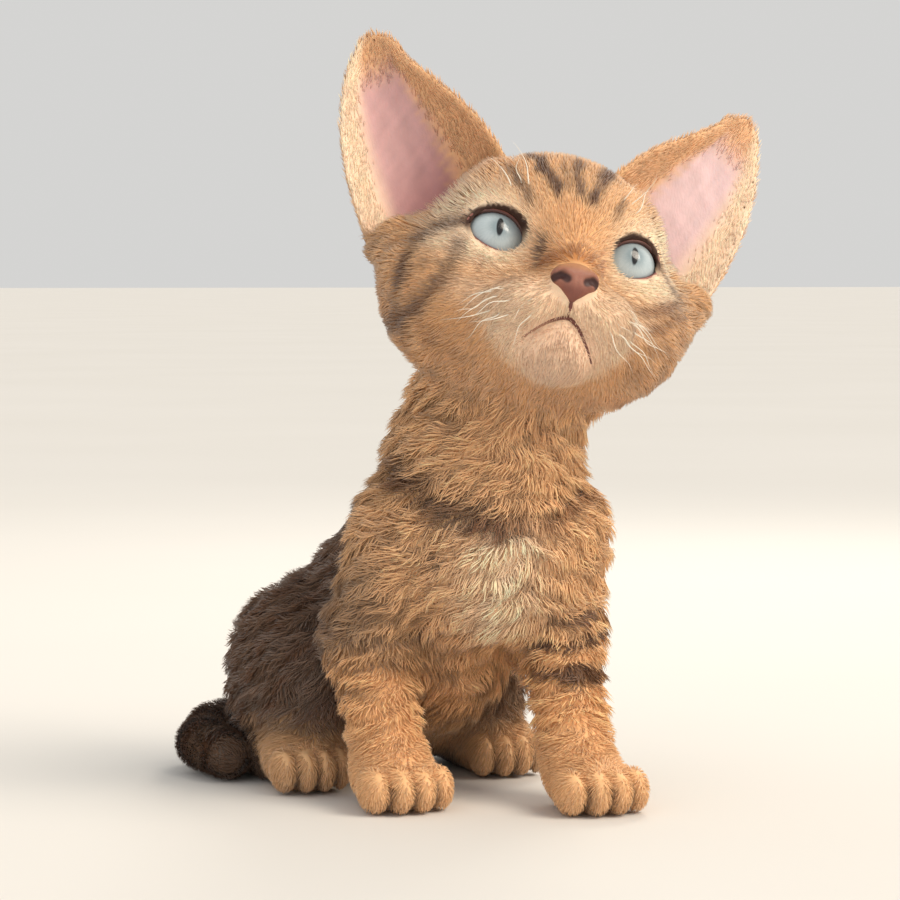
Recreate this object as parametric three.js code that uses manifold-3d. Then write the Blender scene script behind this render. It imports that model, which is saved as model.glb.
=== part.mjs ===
// A Devon Rex kitten about eight weeks old, sitting upright with its head raised and turned: a still,
// life-size model. Millimetres, +Z up. The kitten faces -Y, and its left side is towards +X.
// The flesh is one smooth blend of egg and limb forms, meshed whole and parted with thin cuts.
import * as THREE from "three";
import { mergeVertices } from "three/addons/utils/BufferGeometryUtils.js";
import Module from "manifold-3d";

const wasm = await Module();
wasm.setup();

// Driving dimensions
const GAP = 0.3; // clear space between neighbouring pieces
const SKULL_WIDTH = 57; // across the braincase, coat included
const EYE_SPACING = 30.4; // between the middles of the eyeballs
const EYE_RADIUS = 8.2;
const LID_THICKNESS = 1.4;
const EAR_LENGTH = 48;
const EAR_THICKNESS = 2.4;
const CHEST_WIDTH = 52;
const PAW_WIDTH = 23;
const FOREARM_RADIUS = 10;
const TAIL_RADIUS = 8.5;
const HEAD_CENTRE = [16.5, -16, 122]; // middle of the skull
const HEAD_TURN = { yaw: -7.5, pitch: -18.5, roll: 12.5 }; // degrees: towards its right, nose up, leaning left
const BODY_CELL = 5.7; // mesh size on the body
const HEAD_CELL = 3.4; // mesh size on the head
const PAW_CELL = 3; // mesh size on the paws

const vector = (p) => new THREE.Vector3(...p);
const radians = THREE.MathUtils.degToRad;
const SIDES = { right: -1, left: 1 };

// The head's own frame: rolled, then pitched, then yawed, and set at the middle of the skull.
const headFrame = new THREE.Matrix4()
  .makeRotationZ(radians(HEAD_TURN.yaw))
  .multiply(new THREE.Matrix4().makeRotationX(radians(HEAD_TURN.pitch)))
  .multiply(new THREE.Matrix4().makeRotationY(radians(HEAD_TURN.roll)))
  .setPosition(...HEAD_CENTRE);
const bodyFrame = new THREE.Matrix4();

// Forms: each gives its signed distance at a point, and how softly it blends into those before it.

// An ellipsoid, turned in its frame about the vertical, in degrees. carve hollows instead of adding.
function egg(frame, centre, radii, { blend = 5, turn = 0, carve = false } = {}) {
  const inverse = frame.clone().multiply(new THREE.Matrix4().makeTranslation(...centre));
  inverse.multiply(new THREE.Matrix4().makeRotationZ(radians(turn))).invert();
  const e = inverse.elements;
  const [rx, ry, rz] = radii;
  const distance = (x, y, z) => {
    const px = e[0] * x + e[4] * y + e[8] * z + e[12];
    const py = e[1] * x + e[5] * y + e[9] * z + e[13];
    const pz = e[2] * x + e[6] * y + e[10] * z + e[14];
    const near = Math.hypot(px / rx, py / ry, pz / rz);
    const slope = Math.hypot(px / (rx * rx), py / (ry * ry), pz / (rz * rz));
    return slope > 1e-9 ? (near * (near - 1)) / slope : -Math.min(rx, ry, rz);
  };
  return { distance, blend, carve };
}

// A limb that tapers from one round end to the other.
function limb(frame, from, to, startRadius, endRadius, { blend = 6, carve = false } = {}) {
  const a = vector(from).applyMatrix4(frame);
  const ab = vector(to).applyMatrix4(frame).sub(a);
  const square = ab.lengthSq();
  const distance = (x, y, z) => {
    const dx = x - a.x;
    const dy = y - a.y;
    const dz = z - a.z;
    const t = Math.min(1, Math.max(0, (dx * ab.x + dy * ab.y + dz * ab.z) / square));
    const reach = Math.hypot(dx - t * ab.x, dy - t * ab.y, dz - t * ab.z);
    return reach - (startRadius + t * (endRadius - startRadius));
  };
  return { distance, blend, carve };
}

// The smooth blend of a list of forms, in order, as one signed distance.
function blended(forms) {
  return (x, y, z) => {
    let d = 1e3;
    for (const form of forms) {
      const next = form.distance(x, y, z);
      const k = form.blend;
      if (form.carve) {
        const share = Math.min(1, Math.max(0, 0.5 - (0.5 * (d + next)) / k));
        d += share * (-next - d) + k * share * (1 - share);
      } else {
        const share = Math.min(1, Math.max(0, 0.5 + (0.5 * (next - d)) / k));
        d = next + share * (d - next) - k * share * (1 - share);
      }
    }
    return d;
  };
}

// The trunk
const PELVIS = [-5, 44, 25];
const LOIN = [-4, 38, 34];
const WITHERS = [5, 1, 71];
const CHEST = [7, -6, 60];
const BELLY = [1, 18, 36];
const NECK_ROOT = [7, -4, 82];
const NECK_TOP = [14, -10, 104];

function trunkForms() {
  const half = CHEST_WIDTH / 2;
  return [
    egg(bodyFrame, PELVIS, [half + 1, 27, 26]),
    limb(bodyFrame, LOIN, WITHERS, half - 1, half - 5, { blend: 10 }),
    egg(bodyFrame, CHEST, [half, half - 5, half], { blend: 10 }),
    egg(bodyFrame, BELLY, [half - 3, 24, 24], { blend: 8 }),
    limb(bodyFrame, NECK_ROOT, NECK_TOP, half - 2.5, half - 5, { blend: 8 }),
  ];
}

// The legs: each joint's place, by side
const FORELEGS = {
  right: { shoulder: [-13, -2, 62], elbow: [-19, 4, 38], wrist: [-18.5, -8, 12], paw: [-18.5, -13, 6] },
  left: { shoulder: [24, -8, 62], elbow: [26, -4, 38], wrist: [22, -24, 12], paw: [22, -32, 6] },
};
const HINDLEGS = {
  right: { thigh: [-27, 38, 24], heel: [-30, 46, 8], paw: [-30, 19, 6.5], turn: 6 },
  left: { thigh: [21, 40, 24], heel: [24, 50, 8], paw: [23, 24, 6.5], turn: -6 },
};
const TOES = [-1.5, -0.5, 0.5, 1.5];

// A paw: a low pad with four toes fanned across its front.
function pawForms(centre, width) {
  const [x, y, z] = centre;
  const pad = egg(bodyFrame, centre, [width / 2 - 1, width / 2, 7.2], { blend: 5 });
  const toe = (place) => {
    const at = [x + place * width * 0.235, y - width * (0.38 - 0.05 * place * place), z - 0.6];
    return egg(bodyFrame, at, [width * 0.15, width * 0.27, 5.6], { blend: 1.2, turn: -5 * place });
  };
  return [pad, ...TOES.map(toe)];
}

function forelegForms({ shoulder, elbow, wrist, paw }) {
  return [
    limb(bodyFrame, shoulder, elbow, FOREARM_RADIUS + 4, FOREARM_RADIUS + 1.5, { blend: 8 }),
    limb(bodyFrame, elbow, wrist, FOREARM_RADIUS + 1.5, FOREARM_RADIUS - 0.5),
    ...pawForms(paw, PAW_WIDTH),
  ];
}

function hindlegForms({ thigh, heel, paw, turn }) {
  const ankle = [paw[0], paw[1] + 6, paw[2] + 0.5];
  return [
    egg(bodyFrame, thigh, [14, 26, 24], { blend: 8, turn }),
    limb(bodyFrame, heel, ankle, 8.5, 7.5, { blend: 5 }),
    ...pawForms(paw, PAW_WIDTH - 3),
  ];
}

// The tail, laid round the right haunch, thinning towards its tip
const TAIL_PATH = [
  [-2, 64, 12],
  [-24, 70, 9.5],
  [-38, 64, 8.5],
  [-45, 51, 7.8],
  [-43, 38, 6.5],
];
const TAIL_TIP_SHARE = 0.66; // the tip's radius over the root's

const tailRadius = (i) => TAIL_RADIUS * (1 - ((1 - TAIL_TIP_SHARE) * i) / (TAIL_PATH.length - 1));

function tailForms() {
  return TAIL_PATH.slice(1).map((point, i) =>
    limb(bodyFrame, TAIL_PATH[i], point, tailRadius(i), tailRadius(i + 1), { blend: i ? 1.5 : 5 }),
  );
}

// The head, in its own frame: face towards -Y, its left towards +X
const EYE = [EYE_SPACING / 2, -13, 0.8];
const NOSE = [0, -31.6, -12];
const CHIN = [0, -24, -26.5];
const CHEEK = [18.5, -5, -11];
const CHEEK_LEAN = 1.6; // the cheeks lie this far over to its right, pressed by the turn of the neck
const RUFF = { top: [36.5, 4, 3], bottom: [20.5, 1, -12.5], topRadius: 5, bottomRadius: 9.5 }; // fur under each ear
const onSide = ([x, y, z], side) => [x * side, y, z];

function headForms() {
  const half = SKULL_WIDTH / 2;
  const lid = EYE_RADIUS + LID_THICKNESS;
  const leaning = ([x, y, z], side, lean) => [x * side + lean, y, z];
  const paired = (side) => [
    egg(headFrame, leaning(CHEEK, side, -CHEEK_LEAN), [15.5, 17, 13.5], { blend: 9 }),
    limb(
      headFrame,
      leaning(RUFF.top, side, CHEEK_LEAN),
      leaning(RUFF.bottom, side, -CHEEK_LEAN),
      RUFF.topRadius,
      RUFF.bottomRadius,
      { blend: 16 },
    ),
    egg(headFrame, onSide([7.5, -24.5, -17], side), [9.5, 9, 7.6], { blend: 7 }), // whisker pad
  ];
  return [
    egg(headFrame, [0, 3, 3], [half, 29, 25]), // braincase
    egg(headFrame, [0, -11, 9], [22, 14, 15], { blend: 8 }), // forehead
    ...paired(SIDES.right),
    ...paired(SIDES.left),
    limb(headFrame, [0, -19, 4], [0, -28.5, -9], 8, 6), // bridge of the nose
    egg(headFrame, CHIN, [8, 6.5, 5.5], { blend: 4 }),
    egg(headFrame, [0, -8, -22], [18, 18, 11], { blend: 8 }), // throat
    egg(headFrame, NOSE, [6.4, 4.2, 4.8], { blend: 1.5 }),
    egg(headFrame, onSide(EYE, SIDES.right), [lid, lid, lid], { blend: 3 }),
    egg(headFrame, onSide(EYE, SIDES.left), [lid, lid, lid], { blend: 3 }),
  ];
}

const flesh = blended([
  ...trunkForms(),
  ...Object.values(HINDLEGS).flatMap(hindlegForms),
  ...Object.values(FORELEGS).flatMap(forelegForms),
  ...tailForms(),
  ...headForms(),
]);

// Where the head and the neck are parted
const HEAD_CUT = { point: [14, -12, 99], normal: [0.12, -0.3, 0.95] };
const NECK_CUT = { point: [6, -2, 80], normal: [0.2, -0.2, 0.96] };
const headSide = vector(HEAD_CUT.normal).normalize();
const headDepth = (x, y, z) => vector([x, y, z]).sub(vector(HEAD_CUT.point)).dot(headSide);

// Solids

// A closed mesh as a solid, after its shared vertices are merged.
function solidOf(geometry, matrix = bodyFrame) {
  const plain = geometry.clone().applyMatrix4(matrix);
  plain.deleteAttribute("normal");
  plain.deleteAttribute("uv");
  const merged = mergeVertices(plain, 1e-4);
  const mesh = new wasm.Mesh({
    numProp: 3,
    vertProperties: merged.attributes.position.array,
    triVerts: new Uint32Array(merged.index.array),
  });
  return new wasm.Manifold(mesh);
}

// A solid as geometry that a mesh can draw.
function geometryOf(solid) {
  const mesh = solid.getMesh();
  return new THREE.BufferGeometry()
    .setAttribute("position", new THREE.BufferAttribute(mesh.vertProperties, 3))
    .setIndex(new THREE.BufferAttribute(mesh.triVerts, 1));
}

// The largest closed piece of a solid.
function largest(solid) {
  return solid.decompose().reduce((a, b) => (a.volume() > b.volume() ? a : b));
}

// The geometry with the vertices merged that share a cell of a grid as fine as the tolerance, and
// flattened triangles dropped. The grid is shifted by a share of its cell.
function welded(geometry, tolerance, share = 0) {
  const shift = share * tolerance;
  const shifted = geometry.clone().translate(shift, shift, shift);
  const merged = mergeVertices(shifted, tolerance).translate(-shift, -shift, -shift);
  const kept = [];
  const index = merged.index.array;
  for (let i = 0; i < index.length; i += 3) {
    const [a, b, c] = index.slice(i, i + 3);
    if (a !== b && b !== c && c !== a) kept.push(a, b, c);
  }
  merged.setIndex(kept);
  return merged;
}

// Whether every edge of a geometry is shared by exactly two of its triangles.
function everyEdgePaired(geometry) {
  const index = geometry.index.array;
  const uses = new Map();
  for (let i = 0; i < index.length; i++) {
    const next = i % 3 === 2 ? i - 2 : i + 1;
    const [a, b] = [index[i], index[next]];
    const key = a < b ? `${a} ${b}` : `${b} ${a}`;
    uses.set(key, (uses.get(key) ?? 0) + 1);
  }
  return [...uses.values()].every((count) => count === 2);
}

const WELDS = [0.9, 0.7, 0.5, 0.36, 0.24, 0.12, 0.05, 0.02, 0.01];
const WELD_SHIFTS = [0, 0.17, 0.34, 0.51, 0.68, 0.85];
const CHECK_WELD = 1e-3; // vertices nearer than this are one vertex to whoever reads the solid

// The solid after one weld, or nothing where that doesn't leave it closed and whole.
function weldedSolid(solid, tolerance, share) {
  try {
    const result = largest(solidOf(welded(geometryOf(solid), tolerance, share)));
    const change = Math.abs(result.volume() / solid.volume() - 1);
    const read = welded(geometryOf(result), CHECK_WELD);
    return everyEdgePaired(read) && change < 0.01 ? result : null;
  } catch {
    return null;
  }
}

// The solid rid of slivers left by its cuts, by the coarsest weld that suits it.
function tidied(solid) {
  for (const tolerance of WELDS)
    for (const share of WELD_SHIFTS) {
      const result = weldedSolid(solid, tolerance, share);
      if (result) return result;
    }
  throw new Error("no weld leaves this solid closed");
}

// A vertex moved onto the surface where the field is zero, by two Newton steps.
function settled(field, point) {
  const h = 0.3;
  for (let step = 0; step < 2; step++) {
    const [x, y, z] = point;
    const d = field(x, y, z);
    const gx = (field(x + h, y, z) - field(x - h, y, z)) / (2 * h);
    const gy = (field(x, y + h, z) - field(x, y - h, z)) / (2 * h);
    const gz = (field(x, y, z + h) - field(x, y, z - h)) / (2 * h);
    const square = Math.max(gx * gx + gy * gy + gz * gz, 0.1);
    point = [x - (d * gx) / square, y - (d * gy) / square, z - (d * gz) / square];
  }
  return point;
}

// The surface of a field inside a box: one vertex in each grid cell that the surface crosses, and one
// quad across each grid edge that it crosses.
function net(field, low, high, cell) {
  const [nx, ny, nz] = low.map((v, i) => Math.ceil((high[i] - v) / cell) + 1);
  const index = (i, j, k) => (i * ny + j) * nz + k;
  const values = new Float64Array(nx * ny * nz);
  for (let i = 0; i < nx; i++)
    for (let j = 0; j < ny; j++)
      for (let k = 0; k < nz; k++) {
        const border = !i || !j || !k || i === nx - 1 || j === ny - 1 || k === nz - 1;
        const value = field(low[0] + i * cell, low[1] + j * cell, low[2] + k * cell);
        values[index(i, j, k)] = border ? Math.max(value, cell / 2) : value;
      }
  const corners = [];
  for (let c = 0; c < 8; c++) corners.push([c & 1, (c >> 1) & 1, (c >> 2) & 1]);
  const vertexOf = new Int32Array(values.length).fill(-1);
  const positions = [];
  for (let i = 0; i < nx - 1; i++)
    for (let j = 0; j < ny - 1; j++)
      for (let k = 0; k < nz - 1; k++) {
        const at = corners.map(([a, b, c]) => values[index(i + a, j + b, k + c)]);
        const sum = [0, 0, 0];
        let crossings = 0;
        for (let c = 0; c < 8; c++)
          for (const bit of [1, 2, 4]) {
            if (c & bit || at[c] < 0 === at[c | bit] < 0) continue;
            const t = at[c] / (at[c] - at[c | bit]);
            const end = corners[c | bit];
            corners[c].forEach((v, axis) => (sum[axis] += v + t * (end[axis] - v)));
            crossings++;
          }
        if (!crossings) continue;
        vertexOf[index(i, j, k)] = positions.length / 3;
        const point = [i, j, k].map((v, axis) => low[axis] + (v + sum[axis] / crossings) * cell);
        const onBorder = [i, j, k].some((v, axis) => !v || v === [nx, ny, nz][axis] - 2);
        positions.push(...(onBorder ? point : settled(field, point)));
      }
  const triangles = [];
  const gap = (a, b) =>
    Math.hypot(...[0, 1, 2].map((axis) => positions[3 * a + axis] - positions[3 * b + axis]));
  for (let i = 0; i < nx - 1; i++)
    for (let j = 0; j < ny - 1; j++)
      for (let k = 0; k < nz - 1; k++) {
        const here = values[index(i, j, k)] < 0;
        for (const [axis, u, w] of [[0, 1, 2], [1, 2, 0], [2, 0, 1]]) {
          if (![i, j, k][u] || ![i, j, k][w]) continue;
          const step = [0, 0, 0];
          step[axis] = 1;
          if (here === values[index(i + step[0], j + step[1], k + step[2])] < 0) continue;
          const cellAt = (du, dw) => {
            const c = [i, j, k];
            c[u] -= du;
            c[w] -= dw;
            return vertexOf[index(...c)];
          };
          const quad = [cellAt(0, 0), cellAt(1, 0), cellAt(1, 1), cellAt(0, 1)];
          const [a, b, c, d] = here ? quad : quad.reverse();
          if (gap(a, c) < gap(b, d)) triangles.push(a, b, c, a, c, d);
          else triangles.push(b, c, d, b, d, a);
        }
      }
  return new THREE.BufferGeometry()
    .setAttribute("position", new THREE.Float32BufferAttribute(positions, 3))
    .setIndex(triangles);
}

// The same as a solid. Where the grid pinches two sheets together at an edge, it is set a little further on,
// by a different share of its cell along each axis.
function netted(field, low, high, cell) {
  const strides = [0.618, 0.414, 0.732];
  for (let attempt = 0; attempt < 60; attempt++) {
    const start = low.map((v, axis) => v - ((attempt * strides[axis]) % 1) * cell);
    const geometry = net(field, start, high, cell);
    if (everyEdgePaired(geometry)) return solidOf(geometry);
  }
  throw new Error("every grid pinches this surface");
}

// Everything on the side of a plane that its normal points to.
function beyond(point, normal, shift = 0) {
  const size = 400;
  const direction = vector(normal).normalize();
  const centre = vector(point).addScaledVector(direction, size / 2 + shift);
  const turn = new THREE.Quaternion().setFromUnitVectors(new THREE.Vector3(0, 0, 1), direction);
  const matrix = new THREE.Matrix4().compose(centre, turn, new THREE.Vector3(1, 1, 1));
  return solidOf(new THREE.BoxGeometry(size, size, size), matrix);
}

// A round-ended bar between two points, as a cutter.
function sleeve(from, to, radius) {
  const a = vector(from);
  const along = vector(to).sub(a);
  const turn = new THREE.Quaternion().setFromUnitVectors(
    new THREE.Vector3(0, 1, 0),
    along.clone().normalize(),
  );
  const middle = a.clone().addScaledVector(along, 0.5);
  const matrix = new THREE.Matrix4().compose(middle, turn, new THREE.Vector3(1, 1, 1));
  return solidOf(new THREE.CapsuleGeometry(radius, along.length(), 3, 12), matrix);
}

// An ellipsoid as a cutter or an eyeball.
function ball(frame, centre, radii, [across, down] = [20, 12]) {
  const matrix = frame
    .clone()
    .multiply(new THREE.Matrix4().makeTranslation(...centre))
    .scale(vector(radii));
  return solidOf(new THREE.SphereGeometry(1, across, down), matrix);
}

// The core under the coat's clumps lies inside the flesh's outline, which is that of their tips. It comes
// out to that outline where no clumps grow: near the floor and under the jaw.
const CLUMP_RISE = 1.9; // from the core to the clumps' tips
const BARE_BELOW = 12; // height of the lowest clump
const RISE_OVER = 12; // the length of each of the two transitions

function core(x, y, z) {
  const d = flesh(x, y, z);
  if (d > 2 * CLUMP_RISE) return d;
  const above = (z - BARE_BELOW) / RISE_OVER;
  const below = -headDepth(x, y, z) / RISE_OVER;
  return d + CLUMP_RISE * Math.min(1, Math.max(0, Math.min(above, below)));
}

// The whole flesh at two mesh sizes, cut flat where it rests on the floor
const HEAD_BOX = { low: [-38, -68, 80], high: [74, 38, 166] };
const FLOOR = beyond([0, 0, 0], [0, 0, 1]);
const bodySolid = netted(core, [-66, -60, -6], [60, 90, 128], BODY_CELL).intersect(FLOOR);
const headSolid = netted(flesh, HEAD_BOX.low, HEAD_BOX.high, HEAD_CELL);
const headGrown = netted((x, y, z) => flesh(x, y, z) - GAP, HEAD_BOX.low, HEAD_BOX.high, HEAD_CELL);

// Parting planes and cutters: each is made at its size, and grown by the gap for its neighbour
const WRIST_LIFT = 1; // the cut lies this far above the wrist

const head = (grow) => beyond(HEAD_CUT.point, HEAD_CUT.normal, -grow);
const neck = (grow) => beyond(NECK_CUT.point, NECK_CUT.normal, -grow);

const tail = (grow) => {
  const bars = TAIL_PATH.slice(2).map((point, i) =>
    sleeve(TAIL_PATH[i + 1], point, tailRadius(i + 1) + 1 + grow),
  );
  return wasm.Manifold.union(bars);
};

// Everything past the wrist, inside an egg about the paw
const forepaw = ({ elbow, wrist, paw }) => (grow) => {
  const down = vector(wrist).sub(vector(elbow)).normalize();
  const point = vector(wrist).addScaledVector(down, -WRIST_LIFT);
  const around = [PAW_WIDTH / 2 + 5, PAW_WIDTH / 2 + 6, 17].map((r) => r + grow);
  return ball(bodyFrame, paw, around, [12, 8]).intersect(beyond(point.toArray(), down.toArray(), -grow));
};

const foreleg = ({ elbow, paw }) => (grow) => {
  const top = [elbow[0], elbow[1] - 1, elbow[2] + 5];
  return sleeve(top, [paw[0], paw[1] + 1, -4], FOREARM_RADIUS + 4.5 + grow);
};

const hindpaw = ({ paw }) => (grow) => {
  const foot = sleeve([paw[0], paw[1] + 26, 2], [paw[0], paw[1] - 6, 2], 13 + grow);
  return foot.intersect(beyond([0, paw[1] + 8, 0], [0, -1, 0], -grow));
};

const hindleg = ({ thigh, paw }, side) => (grow) => {
  const middle = [thigh[0] + side * 3, thigh[1], thigh[2] - 2];
  const haunch = ball(bodyFrame, middle, [17 + grow, 29 + grow, 27 + grow], [12, 8]);
  return haunch.add(sleeve([paw[0], paw[1] + 26, 2], [paw[0], paw[1], 2], 12.5 + grow));
};

// What each piece takes, in order: a later one keeps clear of all those before it.
const regions = { head, neck, tail };
for (const [name, leg] of Object.entries(FORELEGS)) {
  regions[`forepaw_${name}`] = forepaw(leg);
  regions[`foreleg_${name}`] = foreleg(leg);
}
for (const [name, leg] of Object.entries(HINDLEGS)) {
  regions[`hindpaw_${name}`] = hindpaw(leg);
  regions[`hindleg_${name}`] = hindleg(leg, SIDES[name]);
}
regions.torso = () => FLOOR;

// A solid cut down to a piece's own region, clear of the pieces that come before it.
function within(name, solid) {
  const order = Object.keys(regions);
  const before = order.slice(0, order.indexOf(name)).map((other) => regions[other](GAP));
  const kept = solid.intersect(regions[name](0)).intersect(FLOOR);
  return before.length ? kept.subtract(wasm.Manifold.union(before)) : kept;
}

// A paw, meshed finer than the body
function paw(name, [x, y]) {
  return within(name, netted(flesh, [x - 22, y - 24, -6], [x + 22, y + 24, 28], PAW_CELL));
}

const nodes = {};
for (const [name, leg] of Object.entries(FORELEGS)) nodes[`forepaw_${name}`] = paw(`forepaw_${name}`, leg.paw);
for (const [name, leg] of Object.entries(HINDLEGS)) nodes[`hindpaw_${name}`] = paw(`hindpaw_${name}`, leg.paw);

// The tail in lengths, parted square to its path at its bends
const TAIL_LENGTHS = { tail_base: 2, tail_middle: 3 }; // each ends at this point of the path
let tailLeft = within("tail", bodySolid);
for (const [name, i] of Object.entries(TAIL_LENGTHS)) {
  const onward = vector(TAIL_PATH[i + 1]).sub(vector(TAIL_PATH[i - 1])).normalize();
  const past = (shift) => beyond(TAIL_PATH[i], onward.toArray(), shift);
  nodes[name] = tailLeft.subtract(past(-GAP));
  tailLeft = tailLeft.intersect(past(0));
}
nodes.tail_tip = tailLeft;

// The coat

// The same draws on every run, each from 0 to 1
function seeded(seed) {
  let state = seed;
  return () => {
    state = (state * 1664525 + 1013904223) % 4294967296;
    return state / 4294967296;
  };
}

const draw = seeded(7);
const between = (low, high) => low + (high - low) * draw();

const CLUMP = { length: 16, width: 14, spacing: 14.5, sunk: 1.4, thickness: 1.4, tipRise: 0.9 };
const CLUMP_SECTION = 5; // sides
const CLUMP_STRIDES = 2; // steps along the body from one section to the next
const CLUMP_PROFILE = [
  // each section's share of the width and of the rise
  { wide: 0.75, high: 0 },
  { wide: 1, high: 0.85 },
];

function slopeAt(field, p) {
  const h = 0.5;
  return new THREE.Vector3(
    field(p.x + h, p.y, p.z) - field(p.x - h, p.y, p.z),
    field(p.x, p.y + h, p.z) - field(p.x, p.y - h, p.z),
    field(p.x, p.y, p.z + h) - field(p.x, p.y, p.z - h),
  ).normalize();
}

// The way the coat lies at a point: down and back along the body, swinging from side to side in waves.
function lieAt(point, normal) {
  const wave = 0.6 * Math.sin(0.16 * point.x + 0.22 * point.z) + between(-0.35, 0.35);
  const lie = new THREE.Vector3(0, 0.55, -1);
  lie.addScaledVector(normal, -lie.dot(normal)).normalize();
  return lie.applyAxisAngle(normal, wave);
}

// One clump of curls: rooted in the core, swelling, following the body, and tapering to a tip.
function clump(root, size) {
  let foot = root;
  let up = slopeAt(core, foot);
  let lie = lieAt(foot, up);
  const bend = between(-0.35, 0.35);
  const step = (CLUMP.length * size) / (CLUMP_PROFILE.length * CLUMP_STRIDES);
  const positions = [];
  for (const { wide, high } of CLUMP_PROFILE) {
    const across = new THREE.Vector3().crossVectors(up, lie);
    const rise = -CLUMP.sunk + high * (CLUMP_RISE + CLUMP.sunk - CLUMP.thickness);
    for (let i = 0; i < CLUMP_SECTION; i++) {
      const angle = ((i + 0.25) * 2 * Math.PI) / CLUMP_SECTION;
      const point = foot.clone().addScaledVector(across, 0.5 * CLUMP.width * size * wide * Math.cos(angle));
      point.addScaledVector(up, rise + CLUMP.thickness * Math.sin(angle));
      positions.push(...point.toArray());
    }
    for (let stride = 0; stride < CLUMP_STRIDES; stride++) {
      foot = vector(settled(core, foot.clone().addScaledVector(lie, step).toArray()));
      up = slopeAt(core, foot);
      lie = lie.addScaledVector(up, -lie.dot(up)).normalize().applyAxisAngle(up, bend / CLUMP_STRIDES);
    }
  }
  positions.push(...foot.clone().addScaledVector(up, CLUMP.tipRise).toArray());
  const triangles = [];
  const last = CLUMP_PROFILE.length - 1;
  for (let i = 0; i < CLUMP_SECTION; i++) {
    const next = (i + 1) % CLUMP_SECTION;
    for (let ring = 0; ring < last; ring++) {
      const [a, b] = [ring * CLUMP_SECTION + i, ring * CLUMP_SECTION + next];
      const [c, d] = [a + CLUMP_SECTION, b + CLUMP_SECTION];
      triangles.push(a, b, d, a, d, c);
    }
    triangles.push(last * CLUMP_SECTION + i, last * CLUMP_SECTION + next, (last + 1) * CLUMP_SECTION);
    if (i > 1) triangles.push(0, i, i - 1);
  }
  const geometry = new THREE.BufferGeometry()
    .setAttribute("position", new THREE.Float32BufferAttribute(positions, 3))
    .setIndex(triangles);
  return solidOf(geometry);
}

// Roots spread evenly at random over the part of a solid that is the coat's own surface.
function rootsOn(solid, spacing) {
  const mesh = solid.getMesh();
  const corner = (i) => new THREE.Vector3().fromArray(mesh.vertProperties, 3 * mesh.triVerts[i]);
  const faces = [];
  let area = 0;
  for (let i = 0; i < mesh.triVerts.length; i += 3) {
    const face = new THREE.Triangle(corner(i), corner(i + 1), corner(i + 2));
    area += face.getArea();
    faces.push({ face, area });
  }
  const roots = [];
  const tries = Math.ceil((area / spacing ** 2) * 30);
  for (let i = 0; i < tries; i++) {
    const pick = draw() * area;
    const { face } = faces.find((entry) => entry.area >= pick);
    const [r, t] = [Math.sqrt(draw()), draw()];
    const point = face.a.clone().multiplyScalar(1 - r);
    point.addScaledVector(face.b, r * (1 - t)).addScaledVector(face.c, r * t);
    const onCoat = Math.abs(core(point.x, point.y, point.z)) < 0.5;
    const bare = point.z < BARE_BELOW + RISE_OVER / 2;
    const crowded = roots.some((other) => other.distanceTo(point) < spacing);
    if (onCoat && !bare && !crowded) roots.push(point);
  }
  return roots;
}

// A piece of the body with its clumps fused on, cut clear of its neighbours.
function coated(name, { size = 1 } = {}) {
  const solid = within(name, bodySolid);
  const clumps = rootsOn(solid, CLUMP.spacing * size).map((root) => clump(root, size * between(0.85, 1.1)));
  return within(name, wasm.Manifold.union([solid, ...clumps]));
}

nodes.neck = coated("neck");
nodes.torso = coated("torso");
for (const name of Object.keys(SIDES)) {
  nodes[`foreleg_${name}`] = coated(`foreleg_${name}`, { size: 0.75 });
  nodes[`hindleg_${name}`] = coated(`hindleg_${name}`);
}

// The face

// Where a line towards +Y at this place in the head's frame first meets the flesh.
function onFace(x, z) {
  const inHead = (y) => {
    const p = vector([x, y, z]).applyMatrix4(headFrame);
    return flesh(p.x, p.y, p.z);
  };
  let [outside, inside] = [-48, -12];
  for (let i = 0; i < 24; i++) {
    const middle = (outside + inside) / 2;
    if (inHead(middle) < 0) inside = middle;
    else outside = middle;
  }
  return new THREE.Vector3(x, inside, z);
}

// A groove along points of the face, as a six-sided bar.
function groove(points, radius) {
  const section = new THREE.Shape();
  for (let i = 0; i < 6; i++) {
    const angle = (i * Math.PI) / 3;
    const [a, b] = [radius * Math.cos(angle), radius * Math.sin(angle)];
    if (i) section.lineTo(a, b);
    else section.moveTo(a, b);
  }
  const path = new THREE.CatmullRomCurve3(points);
  const bar = new THREE.ExtrudeGeometry(section, { steps: 2 * points.length, extrudePath: path, bevelEnabled: false });
  return solidOf(bar, headFrame);
}

const MOUTH_HALF = 9.5;
const MOUTH_TOP = -20;
const MOUTH_DROP = 6.5;

// The line of the mouth: from the middle under the nose, down and back to each corner.
function mouthLine() {
  const steps = 4;
  const points = [];
  for (let i = -steps; i <= steps; i++) {
    const share = Math.abs(i) / steps;
    points.push(onFace((MOUTH_HALF * i) / steps, MOUTH_TOP - MOUTH_DROP * share ** 1.25));
  }
  return groove(points, 0.8);
}

function philtrum() {
  const points = [-15.5, -17, -18.5, -20].map((z) => onFace(0, z));
  return groove(points, 0.7);
}

// The lids' opening: an almond, its outer corner higher, pushed out along the way the eye looks.
const LID_HALF = 6.9;
const LID_RISE = { upper: 4.7, lower: 3.9 };
const EYE_SLANT = 20; // degrees
const EYE_TURN_OUT = 10; // degrees

function eyeFrame(side) {
  const look = new THREE.Matrix4().makeRotationZ(radians(side * EYE_TURN_OUT));
  look.multiply(new THREE.Matrix4().makeRotationY(radians(-side * EYE_SLANT)));
  look.multiply(new THREE.Matrix4().makeRotationX(Math.PI / 2));
  return headFrame.clone().multiply(new THREE.Matrix4().makeTranslation(...onSide(EYE, side))).multiply(look);
}

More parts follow.
